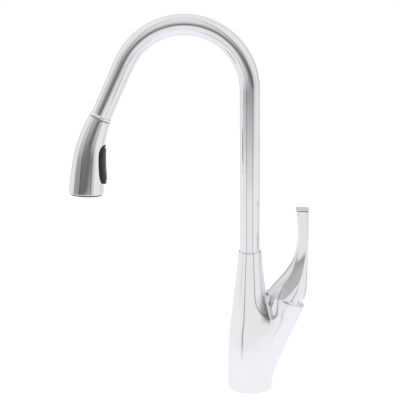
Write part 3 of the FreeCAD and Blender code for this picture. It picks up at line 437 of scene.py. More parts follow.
def first_ring(name, corners):
    """Starts a piece as a circle in edit mode, with its corners moved to their places."""
    deselect()
    bpy.ops.mesh.primitive_circle_add(vertices=len(corners), radius=0.01, location=(0, 0, 0))
    made = bpy.context.object
    made.name = made.data.name = name
    bpy.ops.object.mode_set(mode="EDIT")
    bpy.ops.mesh.select_mode(type="VERT")
    ring = list(range(len(corners)))
    put_corners(made, ring, corners)
    return made, ring


def next_ring(made, ring, corners):
    """Extrudes a ring and moves the new corners to their places; gives the new ring in the same order."""
    before = len(bmesh.from_edit_mesh(made.data).verts)
    pick(made, ring)
    bpy.ops.mesh.extrude_edges_move()
    mesh = bmesh.from_edit_mesh(made.data)
    mesh.verts.ensure_lookup_table()
    new = []
    for number in ring:
        vert = mesh.verts[number]
        partners = (edge.other_vert(vert).index for edge in vert.link_edges)
        new.append(next(partner for partner in partners if partner >= before))
    put_corners(made, new, corners)
    return new


def stack(name, loops):
    """Starts a piece from loops one after another; gives it and all of its rings."""
    made, ring = first_ring(name, loops[0])
    rings = [ring]
    for loop in loops[1:]:
        rings.append(next_ring(made, rings[-1], loop))
    return made, rings


def bridge(made, rings):
    """Closes a turned piece by joining its last ring to its first."""
    pick(made, rings[0], rings[-1])
    bpy.ops.mesh.bridge_edge_loops()


def cap(made, ring):
    """Closes a ring with a face."""
    pick(made, ring)
    bpy.ops.mesh.edge_face_add()


def crease(made, run, sharpness):
    """Sharpens the edges of a ring or a run under subdivision."""
    pick(made, run)
    bpy.ops.transform.edge_crease(value=sharpness)


def close_piece(made, levels=2, wall=0.0):
    """Faces the piece outwards, leaves edit mode, and gives it its wall and its smoothness."""
    bpy.ops.mesh.select_all(action="SELECT")
    bpy.ops.mesh.remove_doubles(threshold=0.000001)
    bpy.ops.mesh.normals_make_consistent(inside=False)
    bpy.ops.object.mode_set(mode="OBJECT")
    if wall:
        shell = made.modifiers.new("wall", "SOLIDIFY")
        shell.thickness = wall
        shell.offset = -1
        shell.use_even_offset = True
        shell.edge_crease_rim = 0.9
        bpy.ops.object.modifier_apply(modifier=shell.name)
    if levels:
        smooth = made.modifiers.new("smooth", "SUBSURF")
        smooth.levels = smooth.render_levels = levels
        bpy.ops.object.modifier_apply(modifier=smooth.name)
    bpy.ops.object.shade_smooth_by_angle(angle=math.radians(40))


def tilted(centre, turn, across, aside, rise=0.0):
    """A corner in a frame that stands at centre (X, Z) and leans to the right by turn."""
    return (centre[0] + across * math.cos(turn) + rise * math.sin(turn), aside,
            centre[1] - across * math.sin(turn) + rise * math.cos(turn))


def tilted_ring(centre, turn, wide, deep, rise=0.0, count=24):
    """Corners of an ellipse in such a frame, in millimetres."""
    steps = (2 * math.pi * step / count for step in range(count))
    return [tilted(centre, turn, wide * math.cos(around), deep * math.sin(around), rise) for around in steps]


def squared(share, power):
    """A sine or cosine pushed outwards, which squares a round."""
    return math.copysign(abs(share) ** power, share)


def mirrored_loop(half):
    """A closed loop from its half on the -Y side, first and last corner on the plane of symmetry."""
    return [*half, *((x, -y, z) for x, y, z in reversed(half[1:-1]))]


def between(marks, place):
    """The values at a place, straight between marks that rise in place."""
    for low, high in zip(marks, marks[1:]):
        if place <= high[0]:
            break
    share = (place - low[0]) / (high[0] - low[0])
    return [start + (end - start) * share for start, end in zip(low[1:], high[1:])]


# -------- stage
class FAUCET_OT_stage(bpy.types.Operator):
    """Floor, white studio, the table and the card that the metal mirrors, and the camera"""
    bl_idname = "faucet.stage"
    bl_label = "Stage"

    def execute(self, context):
        sizes = context.scene.faucet_stage
        deselect()
        bpy.ops.mesh.primitive_plane_add(size=sizes.floor_size, location=(0, 0, 0))
        floor = context.object
        floor.name = "floor"
        paint(floor, floor_material())
        floor.visible_glossy = False
        table = mirrored_table(sizes)
        card = mirrored_card(sizes)
        context.scene.world = studio_world(sizes)
        seen = bpy.data.cameras.new("camera")
        seen.lens = sizes.focal_length
        seen.sensor_width = SENSOR_WIDTH
        camera = bpy.data.objects.new("camera", seen)
        context.scene.collection.objects.link(camera)
        look = Matrix.Rotation(math.pi / 2 - sizes.camera_pitch, 4, "X")
        lean = Matrix.Rotation(-sizes.camera_roll, 4, "Z")
        camera.matrix_world = Matrix.Translation(sizes.camera_place) @ look @ lean
        context.scene.camera = camera
        context.scene.view_settings.view_transform = "Standard"
        return {"FINISHED"}


# what the metal mirrors in front of it, by height above the horizon in degrees: dark at the horizon
FRONT_TONES = (
    (-90, 0.90), (-8, 0.30), (-2, 0.19), (0, 0.16), (5, 0.20), (10, 0.38), (21, 0.56), (32, 0.73), (45, 0.77),
    (66, 0.81), (87, 0.80), (90, 0.42),
)
# the same on the table, by its distance from the faucet in metres
TABLE_TONES = (
    (0.0, 0.85), (0.6, 0.87), (1.1, 0.80), (1.6, 0.71), (2.3, 0.58), (3.0, 0.49), (4.2, 0.38), (8.0, 0.25),
    (15.0, 0.17),
)
# how much of those is mirrored, by the angle round from straight ahead in degrees: panels stand at both sides
FRONT_SHARE = (
    (-180, 0.55), (-150, 0.45), (-125, 0.08), (-88, 0.12), (-81, 0.75), (-44, 0.80), (-38, 1.0),
    (33, 1.0), (43, 0.75), (52, 0.40), (60, 0.24), (100, 0.06), (125, 0.10), (150, 0.45), (180, 0.55),
)
# dark gaps between the panels, by the same angle
GAP_TONES = (
    (-180, 1.0), (-45, 1.0), (-42, 0.46), (-38.5, 0.46), (-35.5, 1.0), (24, 1.0), (27, 0.48), (30.5, 0.48),
    (33.5, 1.0),
    (70, 1.0), (72, 0.8), (75, 1.0), (112, 1.0), (116, 0.5), (122, 0.5), (126, 1.0), (180, 1.0),
)
PANEL_TONE = 0.88
# the card's tone by height in metres, and the height from which it fades out
CARD_TONES = ((0.0, 0.85), (0.10, 0.835), (0.17, 0.82), (0.205, 0.78))
CARD_FADE = 0.175
DEGREE = math.radians(1)
SENSOR_WIDTH = 36
TABLE_SIZE = 40
UNDER_FLOOR = -0.0005
NEAR_TONE = (0.937, 0.937, 0.965, 1)
NEAR_SHARE = 0.35    # the share of the table's bright reach over which its near tone is whole


def ramp(tree, stops, source, unit=1.0):
    """A curve through (place, tone) stops, as a colour ramp; unit turns a place into the source's own."""
    low, high = stops[0][0], stops[-1][0]
    spread = tree.nodes.new("ShaderNodeMapRange")
    spread.inputs["From Min"].default_value = low * unit
    spread.inputs["From Max"].default_value = high * unit
    tree.links.new(source, spread.inputs["Value"])
    made = tree.nodes.new("ShaderNodeValToRGB")
    made.color_ramp.elements.remove(made.color_ramp.elements[0])
    for number, (place, tone) in enumerate(stops):
        at = (place - low) / (high - low)
        stop = made.color_ramp.elements[0] if number == 0 else made.color_ramp.elements.new(at)
        stop.position = at
        stop.color = (tone / 2, tone / 2, tone / 2, 1)
    tree.links.new(spread.outputs["Result"], made.inputs["Fac"])
    return math_node(tree, "MULTIPLY", made.outputs["Color"], 2.0)


def crossed_tone(tree, front, parts):
    """The front's tone, mixed with the side panels and crossed by the gaps between them."""
    around = math_node(tree, "ARCTAN2", parts["X"], math_node(tree, "MULTIPLY", parts["Y"], -1.0))
    drop = math_node(tree, "SUBTRACT", front, PANEL_TONE)
    tone = math_node(tree, "MULTIPLY_ADD", drop, ramp(tree, FRONT_SHARE, around, DEGREE), PANEL_TONE)
    return math_node(tree, "MULTIPLY", tone, ramp(tree, GAP_TONES, around, DEGREE))


def mix_shaders(tree, factor, none, full, out):
    """A shader that goes from none to full with the factor, put out by a new output node."""
    mix = tree.nodes.new("ShaderNodeMixShader")
    for number, source in enumerate((factor, none, full)):
        tree.links.new(source, mix.inputs[number])
    tree.links.new(mix.outputs[0], tree.nodes.new(out).inputs["Surface"])


def studio_world(sizes):
    """White all round, with what polished metal mirrors painted by direction."""
    world = bpy.data.worlds.new("white_studio")
    world.use_nodes = True
    tree = world.node_tree
    tree.nodes.clear()
    parts = parts_of(tree, place_on(tree, "Generated"))
    height = math_node(tree, "ARCSINE", parts["Z"])
    mirrored = tree.nodes.new("ShaderNodeBackground")
    tone = crossed_tone(tree, ramp(tree, FRONT_TONES, height, DEGREE), parts)
    tree.links.new(tone, mirrored.inputs["Color"])
    white = tree.nodes.new("ShaderNodeBackground")
    white.inputs["Color"].default_value = (1, 1, 1, 1)
    for glow in (mirrored, white):
        glow.inputs["Strength"].default_value = sizes.light_strength
    path = tree.nodes.new("ShaderNodeLightPath")
    mix_shaders(tree, path.outputs["Is Glossy Ray"], white.outputs[0], mirrored.outputs[0],
                "ShaderNodeOutputWorld")
    return world


def only_mirrored(obj):
    """Gives a stage object an empty material of its own name, and hides it from all but the metal."""
    made = bpy.data.materials.new(obj.name)
    made.use_nodes = True
    made.node_tree.nodes.clear()
    obj.data.materials.append(made)
    obj.visible_camera = obj.visible_diffuse = obj.visible_shadow = obj.visible_transmission = False
    return made.node_tree


def mirrored_table(sizes):
    """The table as the metal mirrors it, bright close by and dimmer far off."""
    deselect()
    bpy.ops.mesh.primitive_plane_add(size=TABLE_SIZE, location=(0, 0, UNDER_FLOOR))
    table = bpy.context.object
    table.name = "mirrored_table"
    tree = only_mirrored(table)
    place = place_on(tree)
    length = tree.nodes.new("ShaderNodeVectorMath")
    length.operation = "LENGTH"
    tree.links.new(place, length.inputs[0])
    far = length.outputs["Value"]
    beyond = crossed_tone(tree, ramp(tree, TABLE_TONES, far), parts_of(tree, place))
    away = step_node(tree, far, sizes.table_reach * NEAR_SHARE, sizes.table_reach)
    glow = tree.nodes.new("ShaderNodeEmission")
    tree.links.new(colour_mix(tree, away, NEAR_TONE, beyond), glow.inputs["Color"])
    tree.links.new(glow.outputs[0], tree.nodes.new("ShaderNodeOutputMaterial").inputs["Surface"])
    return table


def mirrored_card(sizes):
    """A low pale card before the faucet, which only the metal sees."""
    deselect()
    tall = CARD_TONES[-1][0]
    bpy.ops.mesh.primitive_plane_add(size=1)
    card = bpy.context.object
    card.name = "mirrored_card"
    bpy.ops.object.mode_set(mode="EDIT")
    bpy.ops.transform.resize(value=(sizes.card_width, tall, 1))
    bpy.ops.transform.rotate(value=-math.pi / 2, orient_axis="X", center_override=(0, 0, 0))
    bpy.ops.transform.translate(value=(0, -sizes.card_distance, tall / 2))
    bpy.ops.object.mode_set(mode="OBJECT")
    tree = only_mirrored(card)
    parts = parts_of(tree, place_on(tree))
    glow = tree.nodes.new("ShaderNodeEmission")
    tree.links.new(crossed_tone(tree, ramp(tree, CARD_TONES, parts["Z"]), parts), glow.inputs["Color"])
    clear = tree.nodes.new("ShaderNodeBsdfTransparent")
    mix_shaders(tree, step_node(tree, parts["Z"], CARD_FADE, tall), glow.outputs[0], clear.outputs[0],
                "ShaderNodeOutputMaterial")
    return card


def floor_material():
    """The white table that is seen under the faucet."""
    made = bpy.data.materials.new("white_table")
    made.use_nodes = True
    shader = made.node_tree.nodes["Principled BSDF"]
    shader.inputs["Base Color"].default_value = (0.9, 0.9, 0.9, 1)
    shader.inputs["Roughness"].default_value = 0.6
    shader.inputs["Emission Color"].default_value = (1, 1, 1, 1)
    shader.inputs["Emission Strength"].default_value = 0.3
    return made


class FAUCET_OT_finish_frame(bpy.types.Operator):
    """Gives every piece of the frame its finish"""
    bl_idname = "faucet.finish_frame"
    bl_label = "Finish the frame"

    def execute(self, context):
        looks = finishes()
        for node in NODES.values():
            slot = node.material_slots[0].material.name.split(".")[0]
            paint(node, looks[slot])
        return {"FINISHED"}


# -------- body
# the body below the fork: height, reach to the left and to the right, half depth, and how square it is
BODY_LEVELS = (
    (0, 26.4, 26.4, 26.4, 1.0), (1.2, 26.9, 26.9, 26.9, 1.0), (8, 27.0, 27.6, 26.9, 1.0),
    (20, 27.0, 30.0, 26.7, 0.97), (34, 26.9, 35.4, 26.3, 0.94), (50, 26.5, 42.3, 25.8, 0.90),
    (67, 25.2, 49.8, 25.2, 0.86),
)
BODY_CORNERS = 16
# the ring where it forks, from the right round the front to the left
FORK_HALF = ((58.6, 0, 84), (56.6, -9.6, 84), (50.2, -18.6, 84), (39, -24.2, 84.5), (25.4, -24.6, 85),
             (9, -25.0, 85), (-9.5, -22.9, 85), (-20.6, -12.4, 85), (-24.3, 0, 85))
# the valley between column and arm runs from the front over a saddle to the back
VALLEY = ((22.4, -18.6, 97.5), (19.6, -11.2, 110.5), (20.0, 0, 118.5), (19.6, 11.2, 110.5),
          (22.4, 18.6, 97.5))
# the column's radius by height
COLUMN_MARKS = ((84, 23.8), (98, 22.3), (110, 20.8), (121, 19.5), (129, 18.3), (144, 16.5), (158, 14.95),
                (167, 14.3), (171, 14.05))
# the column's corners in degrees, from its front corner round the left to the back and home along the
# valley: their heights in the rows beside the valley, and the level rows above it
COLUMN_TURNS = (-62, -88, -116, -148, 180, 148, 116, 88, 62, 40, 20, 0, -20, -40)
COLUMN_HEIGHTS = ((103, 104, 105, 106, 106, 106, 105, 104, 103, 109, 117.5, 126, 117.5, 109),
                  (124, 124, 124, 124, 124, 124, 124, 124, 124, 126, 129, 134, 129, 126))
LEVEL_TURNS = (-66, -90, -118, -148, 180, 148, 118, 90, 66, 44, 22, 0, -22, -44)
LEVEL_ROWS = ((146, 0), (158, 0), (167, 0), (169.4, 0), (170, 0.35))    # height, and how far it is drawn in
# the arm, from its back corner round the right to the front and home along the valley: a row of corners,
# then its rim's angles in degrees, with how far below the rim and how far inside it each row lies
ARM_ROW = ((33.6, 25.0, 97.5), (44.0, 23.4, 96.0), (54.2, 17.6, 94.4), (60.6, 9.4, 93.2), (62.9, 0, 92.8),
           (60.6, -9.4, 93.2), (54.2, -17.6, 94.4), (44.0, -23.4, 96.0), (33.6, -25.0, 97.5),
           (26.6, -19.6, 106.0), (21.2, -11.6, 114.2), (19.9, 0, 118.9), (21.2, 11.6, 114.2),
           (26.6, 19.6, 106.0))
RIM_TURNS = (90, 67.5, 45, 22.5, 0, -22.5, -45, -67.5, -90, -120, -150, 180, 150, 120)
RIM_ROWS = ((0.8, 0), (0, 0.25))
RIM_AT = (42.47, 110.63)
RIM_RADIUS = 24.3
ARM_TILT = math.radians(21)
FRONT_CORNER, BACK_CORNER = 4, 12    # where the valley leaves the ring of the fork
VALLEY_ENDS = (8, 0)                 # the arm's corners there, which stay sharp up to the rim


def body_level(height, left, right, depth, power):
    """Corners of one level of the body below the fork."""
    middle, wide, deep = (right - left) / 2, ROUND_UP * (right + left) / 2, ROUND_UP * depth
    turns = (-2 * math.pi * step / BODY_CORNERS for step in range(BODY_CORNERS))
    return [(middle + wide * squared(math.cos(turn), power), deep * squared(math.sin(turn), power), height)
            for turn in turns]


def column_row(turns, heights, inset=0.0):
    """Corners round the column at these angles in degrees, each at its own height."""
    row = []
    for turn, height in zip(map(math.radians, turns), heights):
        reach = ROUND_UP * (between(COLUMN_MARKS, height)[0] - inset)
        row.append((reach * math.cos(turn), reach * math.sin(turn), height))
    return row


def rim_row(drop, inset):
    """Corners round the arm's rim."""
    reach = (RIM_RADIUS - inset) * ROUND_UP
    return [tilted(RIM_AT, ARM_TILT, reach * math.cos(turn), reach * math.sin(turn), -drop)
            for turn in map(math.radians, RIM_TURNS)]


class FAUCET_OT_body(bpy.types.Operator):
    """The forked body: one smooth casting that carries the column and the lever's arm"""
    bl_idname = "faucet.body"
    bl_label = "Body"

    def execute(self, context):
        levels = [body_level(*level) for level in BODY_LEVELS]
        made, rings = stack("forked_body", [*levels, mirrored_loop(FORK_HALF)])
        foot, fork = rings[0], rings[-1]
        before = len(bmesh.from_edit_mesh(made.data).verts)
        pick(made, [fork[FRONT_CORNER], fork[BACK_CORNER]])
        bpy.ops.mesh.edge_face_add()
        bpy.ops.mesh.subdivide(number_cuts=len(VALLEY))
        mesh = bmesh.from_edit_mesh(made.data)
        mesh.verts.ensure_lookup_table()
        valley = sorted(range(before, len(mesh.verts)), key=lambda number: mesh.verts[number].co.y)
        put_corners(made, valley, VALLEY)
        column = [*fork[FRONT_CORNER:BACK_CORNER + 1], *reversed(valley)]
        for heights in COLUMN_HEIGHTS:
            column = next_ring(made, column, column_row(COLUMN_TURNS, heights))
        for height, inset in LEVEL_ROWS:
            column = next_ring(made, column, column_row(LEVEL_TURNS, [height] * len(LEVEL_TURNS), inset))
        arms = [[*fork[BACK_CORNER:], *fork[:FRONT_CORNER + 1], *valley]]
        for corners in (ARM_ROW, *(rim_row(*row) for row in RIM_ROWS)):
            arms.append(next_ring(made, arms[-1], corners))
        for place in VALLEY_ENDS:
            crease(made, [arm[place] for arm in arms], 1.0)
        for ring, sharpness in ((column, 0.7), (arms[-1], 0.8), (foot, 0.8)):
            crease(made, ring, sharpness)
        close_piece(made, levels=3, wall=context.scene.faucet_pieces.casting_wall)
        # the body's chrome carries painted shade in the crook of the fork
        paint(made, body_chrome_with_painted_shade())
        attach(made, "base")
        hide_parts("body_casting")
        return {"FINISHED"}


# -------- lever
# half of a section, from the outer middle to the inner middle, as shares of its half width and half depth
ROUND_HALF = tuple((math.cos(math.pi / 8 * step), math.sin(math.pi / 8 * step)) for step in range(9))
SCOOP_HALF = ((1, 0), (0.96, 0.38), (0.82, 0.68), (0.58, 0.90), (0.28, 1.0), (-0.18, 0.90), (-0.70, 0.86),
              (-0.96, 0.46), (-1, 0))
BAR_HALF = ((1, 0), (1, 0.45), (0.98, 0.78), (0.87, 0.95), (0.62, 1.0), (-0.1, 1.0), (-0.88, 0.95), (-1, 0.5),
            (-1, 0))
# sections of the lever: centre from the rim's centre, half width, half depth, tilt in degrees, and the
# shares of the three halves
LEVER_ROWS = (
    ((0.2, 0.6), 22.6, 22.6, 21.0, (1, 0, 0)), ((0.6, 1.6), 22.6, 22.6, 21.0, (1, 0, 0)),
    ((3.5, 7.2), 21.6, 22.2, 18.0, (0.6, 0.4, 0)), ((7.7, 15.4), 19.7, 21.0, 12.6, (0.2, 0.8, 0)),
    ((13.1, 30.4), 13.9, 17.6, 6.3, (0, 1, 0)), ((17.0, 43.0), 10.1, 14.4, 2.5, (0, 0.85, 0.15)),
    ((18.9, 53.5), 8.0, 12.2, 0.0, (0, 0.5, 0.5)), ((20.6, 66.0), 6.4, 10.4, 0.0, (0, 0.1, 0.9)),
    ((21.2, 78.0), 6.0, 9.6, 0.0, (0, 0, 1)), ((20.6, 95.0), 6.7, 9.5, 0.0, (0, 0, 1)),
    ((19.6, 107.6), 7.7, 9.5, 0.0, (0, 0, 1)),
)
BAR = LEVER_ROWS[-1][-1]
# its cap: centre across, half width and half depth; then rise, size and sharpness of each ring
CAP = (19.55, 7.85, 9.6)
CAP_ROWS = ((108.3, 0.97, 0.9), (108.3, 0.90, 0.9), (108.9, 0.90, 0.9), (108.9, 0.985, 0.9),
            (109.9, 1.0, 0.6), (110.3, 0.955, 0.6), (110.35, 0.6, 0.0), (110.4, 0.15, 0.0))
# a black ring that fills the groove under the cap as painted shade: half width, half depth, then rise and
# size of each ring, and its thickness
SEAM = (7.3, 8.95)
SEAM_ROWS = ((108.32, 1.0), (108.34, 1.03), (108.86, 1.03), (108.88, 1.0))
SEAM_WALL = 0.3
# the blade's long edges: their corner in a section, and their sharpness; they start at the fourth section
BLADE_EDGES = ((4, 0.5), (12, 0.5), (6, 0.6), (10, 0.6))
BLADE_START = 3
WEDGE_AT = (39.5, 0, 113.1)    # a point on the plane that cuts the skirt
SEAL_ROWS = ((0.05, 21.4), (0.05, 23.5), (0.3, 23.75), (0.5, 23.5), (0.5, 21.4))    # rise, radius


def lever_corners(centre, wide, deep, tilt, shares):
    """The sixteen corners of one section of the lever."""
    half = []
    for row in zip(ROUND_HALF, SCOOP_HALF, BAR_HALF):
        half.append(tuple(sum(share * point[axis] for share, point in zip(shares, row)) for axis in (0, 1)))
    grown = 1 + (ROUND_UP - 1) * shares[0]
    place = (RIM_AT[0] + centre[0], RIM_AT[1] + centre[1])
    return [tilted(place, math.radians(tilt), across * wide * grown, -aside * deep * grown)
            for across, aside in [*half, *((a, -b) for a, b in reversed(half[1:-1]))]]


class FAUCET_OT_lever(bpy.types.Operator):
    """The lever: a round skirt that rises into a flat blade with a capped top"""
    bl_idname = "faucet.lever"
    bl_label = "Lever"

    def execute(self, context):
        sizes = context.scene.faucet_pieces
        across, wide, deep = CAP
        tops = [lever_corners((across, rise), wide * size, deep * size, 0, BAR) for rise, size, _ in CAP_ROWS]
        made, rings = stack("lever_handle", [*(lever_corners(*row) for row in LEVER_ROWS), *tops])
        cap(made, rings[-1])
        crease(made, rings[0], 0.9)
        for ring, (_, _, sharpness) in zip(rings[len(LEVER_ROWS):], CAP_ROWS):
            if sharpness:
                crease(made, ring, sharpness)
        for place, sharpness in BLADE_EDGES:
            crease(made, [ring[place] for ring in rings[BLADE_START:len(LEVER_ROWS)]], sharpness)
        close_piece(made, levels=3)
        # room to tip outwards: the skirt is cut by a plane that lies on the rim once the lever is lifted
        deselect()
        made.select_set(True)
        context.view_layer.objects.active = made
        bpy.ops.object.mode_set(mode="EDIT")
        bpy.ops.mesh.select_all(action="SELECT")
        tip = ARM_TILT - sizes.lever_lift
        bpy.ops.mesh.bisect(plane_co=Vector(WEDGE_AT) * MM, plane_no=(math.sin(tip), 0, math.cos(tip)),
                            clear_inner=True)
        close_piece(made, levels=0, wall=sizes.casting_wall)
        paint(made, finishes()["polished_chrome"])
        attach(made, "lever")
        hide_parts("lever")
        seal = skirt_seal()
        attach(seal, "base")
        # painted shade: a black ring fills the seam under the cap
        seam = cap_shade_ring()
        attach(seam, "lever")
        return {"FINISHED"}


def skirt_seal():
    """The dark seal in the seam between the arm's rim and the lever's skirt."""
    made, rings = stack("skirt_seal", [tilted_ring(RIM_AT, ARM_TILT, reach, reach, rise, count=48)
                                       for rise, reach in SEAL_ROWS])
    bridge(made, rings)
    close_piece(made, levels=1)
    paint(made, finishes()["black_rubber"])
    return made


def cap_shade_ring():
    """A black ring in the groove under the lever's cap, painted shade for the seam."""
    wide, deep = SEAM
    made, _ = stack("lever_cap_painted_shade", [lever_corners((CAP[0], rise), wide * size, deep * size, 0, BAR)
                                       for rise, size in SEAM_ROWS])
    close_piece(made, levels=1, wall=SEAM_WALL * MM)
    paint(made, finishes()["black_plastic"])
    return made


# -------- spray head
# where the head docks on the spout's leg: the middle of the seam (X, Z) and how far the leg leans
SEAM_AT = (-174.57, 329.52)
LEG_TILT = math.radians(25.2)
# the skin that the button lies on: height, centre across and radius, from the mouth up
SKIN_MARKS = ((242.06, -193.16, 21.0), (282.85, -189.05, 18.2), (304.3, -184.3, 15.8),
              (329.52, -174.57, 13.2))
# the head's shell from the seam down: centre across, height, tilt in degrees, half width, half depth and
# sharpness of each ring
HEAD_ROWS = (
    (-174.57, 329.52, 25.2, 12.7, 12.7, 0.8), (-174.62, 329.42, 25.2, 13.1, 13.1, 0.4),
    (-175.0, 328.6, 25.0, 13.25, 13.25, 0), (-179.9, 317.2, 21.0, 14.5, 14.4, 0),
    (-184.5, 304.3, 16.5, 15.85, 15.6, 0), (-187.4, 293.4, 12.0, 17.1, 16.5, 0),
    (-189.2, 282.8, 8.5, 18.2, 17.5, 0), (-191.5, 262.5, 5.5, 19.75, 19.3, 0),
    (-192.9, 246.0, 3.7, 20.8, 20.75, 0), (-193.13, 242.6, 3.5, 20.98, 21.0, 0.5),
    (-193.16, 242.06, 3.5, 20.8, 20.8, 0.8),
)
HEAD_GROWN = 1.0115    # as ROUND_UP, for rings of twenty-four corners
BUTTON_AT = (-189.61, 278.89)
BUTTON_TILT = math.radians(8)
BUTTON_HALF = (23.6, 12.6)    # half height and half width
BUTTON_SQUARE = 0.55          # how square the oblong is: 1 is an ellipse
BUTTON_CORNERS = 24
# rings of the frame and of the rocker: size, how far each stands proud, and how much more at its foot
FRAME_ROWS = ((1.0, -1.6, 0.0), (1.0, 0.7, 0.03), (0.985, 1.5, 0.05), (0.95, 2.0, 0.06), (0.88, 2.1, 0.06),
              (0.84, 1.8, 0.06), (0.835, 0.6, 0.06), (0.835, -1.6, 0.0))
ROCKER_ROWS = ((0.81, -1.2, 0.0), (0.81, 1.2, 0.05), (0.795, 2.2, 0.06), (0.76, 2.7, 0.06), (0.71, 2.8, 0.06),
               (0.64, 2.5, 0.06), (0.56, 2.5, 0.06))
# rings of the collar: rise up the leg from the seam, and radius
LIP_ROWS = ((0.8, 12.06), (0.8, 12.8), (1.1, 13.15), (1.8, 13.3), (2.8, 13.2), (3.9, 12.75), (4.6, 12.3),
            (4.8, 12.06))
# the stretch of hose inside the leg at rest: where it starts and ends up the leg, its rings and its weave
HOSE_SPAN = (27.5, 68.0)
HOSE_ROWS = 90
HOSE_CORNERS = 12
HOSE_PITCHES = 100.0


class FAUCET_OT_head(bpy.types.Operator):
    """The spray head's shell, which bends and widens down to its mouth"""
    bl_idname = "faucet.head"
    bl_label = "Spray head"

    def execute(self, context):
        made, rings = stack("head_skin", [
            tilted_ring((across, height), math.radians(tilt), wide * HEAD_GROWN, deep * HEAD_GROWN)
            for across, height, tilt, wide, deep, _ in HEAD_ROWS])
        for ring, row in zip(rings, HEAD_ROWS):
            if row[-1]:
                crease(made, ring, row[-1])
        close_piece(made, levels=3, wall=context.scene.faucet_pieces.head_wall)
        paint(made, finishes()["polished_chrome"])
        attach(made, "spray_head")
        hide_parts("head_shell")
        return {"FINISHED"}


def skin_reach(rise, aside):
    """How far the head's skin stands out from the button's axis, at a rise up it and off to its side."""
    across, radius = between(SKIN_MARKS, BUTTON_AT[1] + rise * math.cos(BUTTON_TILT))
    drift = (across - BUTTON_AT[0] - rise * math.sin(BUTTON_TILT)) * math.cos(BUTTON_TILT)
    return drift + math.sqrt(max(radius ** 2 - aside ** 2, 1.0))


def button_loop(scale, proud, lean):
    """Corners of an oblong on the head's skin, standing proud of it by more towards its foot."""
    high, wide = BUTTON_HALF
    corners = []
    for step in range(BUTTON_CORNERS):
        turn = 2 * math.pi * step / BUTTON_CORNERS
        rise = high * scale * squared(math.cos(turn), BUTTON_SQUARE)
        aside = (wide - high * (1 - scale)) * squared(math.sin(turn), BUTTON_SQUARE)
        out = skin_reach(rise, aside) + proud - lean * rise
        corners.append(tilted(BUTTON_AT, BUTTON_TILT, out, aside, rise))
    return corners


class FAUCET_OT_button(bpy.types.Operator):
    """The spray button: a black frame on the head with a soft rocker in it"""
    bl_idname = "faucet.button"
    bl_label = "Spray button"

    def execute(self, context):
        looks = finishes()
        made, rings = stack("button_frame", [button_loop(*row) for row in FRAME_ROWS])
        bridge(made, rings)
        close_piece(made, levels=2)
        paint(made, looks["black_plastic"])
        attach(made, "spray_head")
        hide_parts("button_bezel")
        made, rings = stack("rubber_rocker", [button_loop(*row) for row in ROCKER_ROWS])
        cap(made, rings[0])
        cap(made, rings[-1])
        close_piece(made, levels=2)
        paint(made, looks["grey_rubber"])
        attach(made, "button")
        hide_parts("rocker_button")
        return {"FINISHED"}


class FAUCET_OT_collar(bpy.types.Operator):
    """The collar at the spout's end, with a rounded lip that the head docks against"""
    bl_idname = "faucet.collar"
    bl_label = "Collar"

    def execute(self, context):
        made, rings = stack("spout_lip", [tilted_ring(SEAM_AT, LEG_TILT, radius, radius, rise)
                                          for rise, radius in LIP_ROWS])
        bridge(made, rings)
        close_piece(made, levels=1)
        paint(made, finishes()["polished_chrome"])
        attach(made, "spout")
        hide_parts("spout_collar")
        return {"FINISHED"}


class FAUCET_OT_hose(bpy.types.Operator):
    """The braided hose that leaves the spout with the head"""
    bl_idname = "faucet.hose"
    bl_label = "Pull-out hose"

    def execute(self, context):
        low, high = HOSE_SPAN
        radius = context.scene.faucet_pieces.hose_radius / MM
        rises = (low + (high - low) * number / HOSE_ROWS for number in range(HOSE_ROWS + 1))
        made, rings = stack("braided_hose", [
            tilted_ring(SEAM_AT, LEG_TILT, radius, radius, rise, HOSE_CORNERS) for rise in rises])
        cap(made, rings[0])
        cap(made, rings[-1])
        close_piece(made, levels=0)
        woven_map(made)
        paint(made, braid_finish("woven_hose", True))
        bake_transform(made)
        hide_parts("pull_hose")
        return {"FINISHED"}


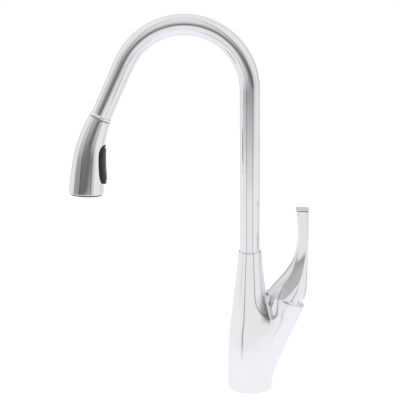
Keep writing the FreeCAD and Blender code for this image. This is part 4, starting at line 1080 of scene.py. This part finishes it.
def woven_map(made):
    """A UV map round and along the hose, for its weave."""
    deselect()
    along = Vector((math.sin(LEG_TILT), 0, math.cos(LEG_TILT)))
    side = Vector((math.cos(LEG_TILT), 0, -math.sin(LEG_TILT)))
    seam = Vector((SEAM_AT[0], 0, SEAM_AT[1])) * MM
    verts = made.data.vertices
    rises = [(vert.co - seam).dot(along) for vert in verts]
    turns = [math.atan2(vert.co.y, (vert.co - seam).dot(side)) / (2 * math.pi) for vert in verts]
    low, high = min(rises), max(rises)
    layer = made.data.uv_layers.new(name="weave")
    for face in made.data.polygons:
        around = [turns[number] for number in face.vertices]
        wraps = max(around) - min(around) > 0.5
        for corner, number, turn in zip(face.loop_indices, face.vertices, around):
            layer.data[corner].uv = (turn + (1 if wraps and turn < 0 else 0),
                                     (rises[number] - low) / (high - low) * HOSE_PITCHES)


# -------- panel and run
class FAUCET_PT_panel(bpy.types.Panel):
    """The faucet's pieces, in the order they are made"""
    bl_idname = "FAUCET_PT_panel"
    bl_label = "Faucet"
    bl_space_type = "VIEW_3D"
    bl_region_type = "UI"
    bl_category = "Faucet"

    def draw(self, context):
        for step in STEPS:
            self.layout.operator(step.bl_idname)


STEPS = (FAUCET_OT_stage, FAUCET_OT_finish_frame, FAUCET_OT_body, FAUCET_OT_lever, FAUCET_OT_button,
         FAUCET_OT_collar, FAUCET_OT_head, FAUCET_OT_hose)
CLASSES = (FaucetStageSizes, FaucetFinishes, FaucetPieceSizes, *STEPS, FAUCET_PT_panel)


def register():
    for made in CLASSES:
        bpy.utils.register_class(made)
    bpy.types.Scene.faucet_stage = bpy.props.PointerProperty(type=FaucetStageSizes)
    bpy.types.Scene.faucet_finishes = bpy.props.PointerProperty(type=FaucetFinishes)
    bpy.types.Scene.faucet_pieces = bpy.props.PointerProperty(type=FaucetPieceSizes)


def unregister():
    del bpy.types.Scene.faucet_pieces
    del bpy.types.Scene.faucet_finishes
    del bpy.types.Scene.faucet_stage
    for made in reversed(CLASSES):
        bpy.utils.unregister_class(made)


def main():
    """Registers the add-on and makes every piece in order."""
    register()
    bpy.ops.faucet.stage()
    bpy.ops.faucet.finish_frame()
    bpy.ops.faucet.body()
    bpy.ops.faucet.lever()
    bpy.ops.faucet.button()
    bpy.ops.faucet.collar()
    bpy.ops.faucet.head()
    bpy.ops.faucet.hose()


if __name__ == "__main__":
    main()
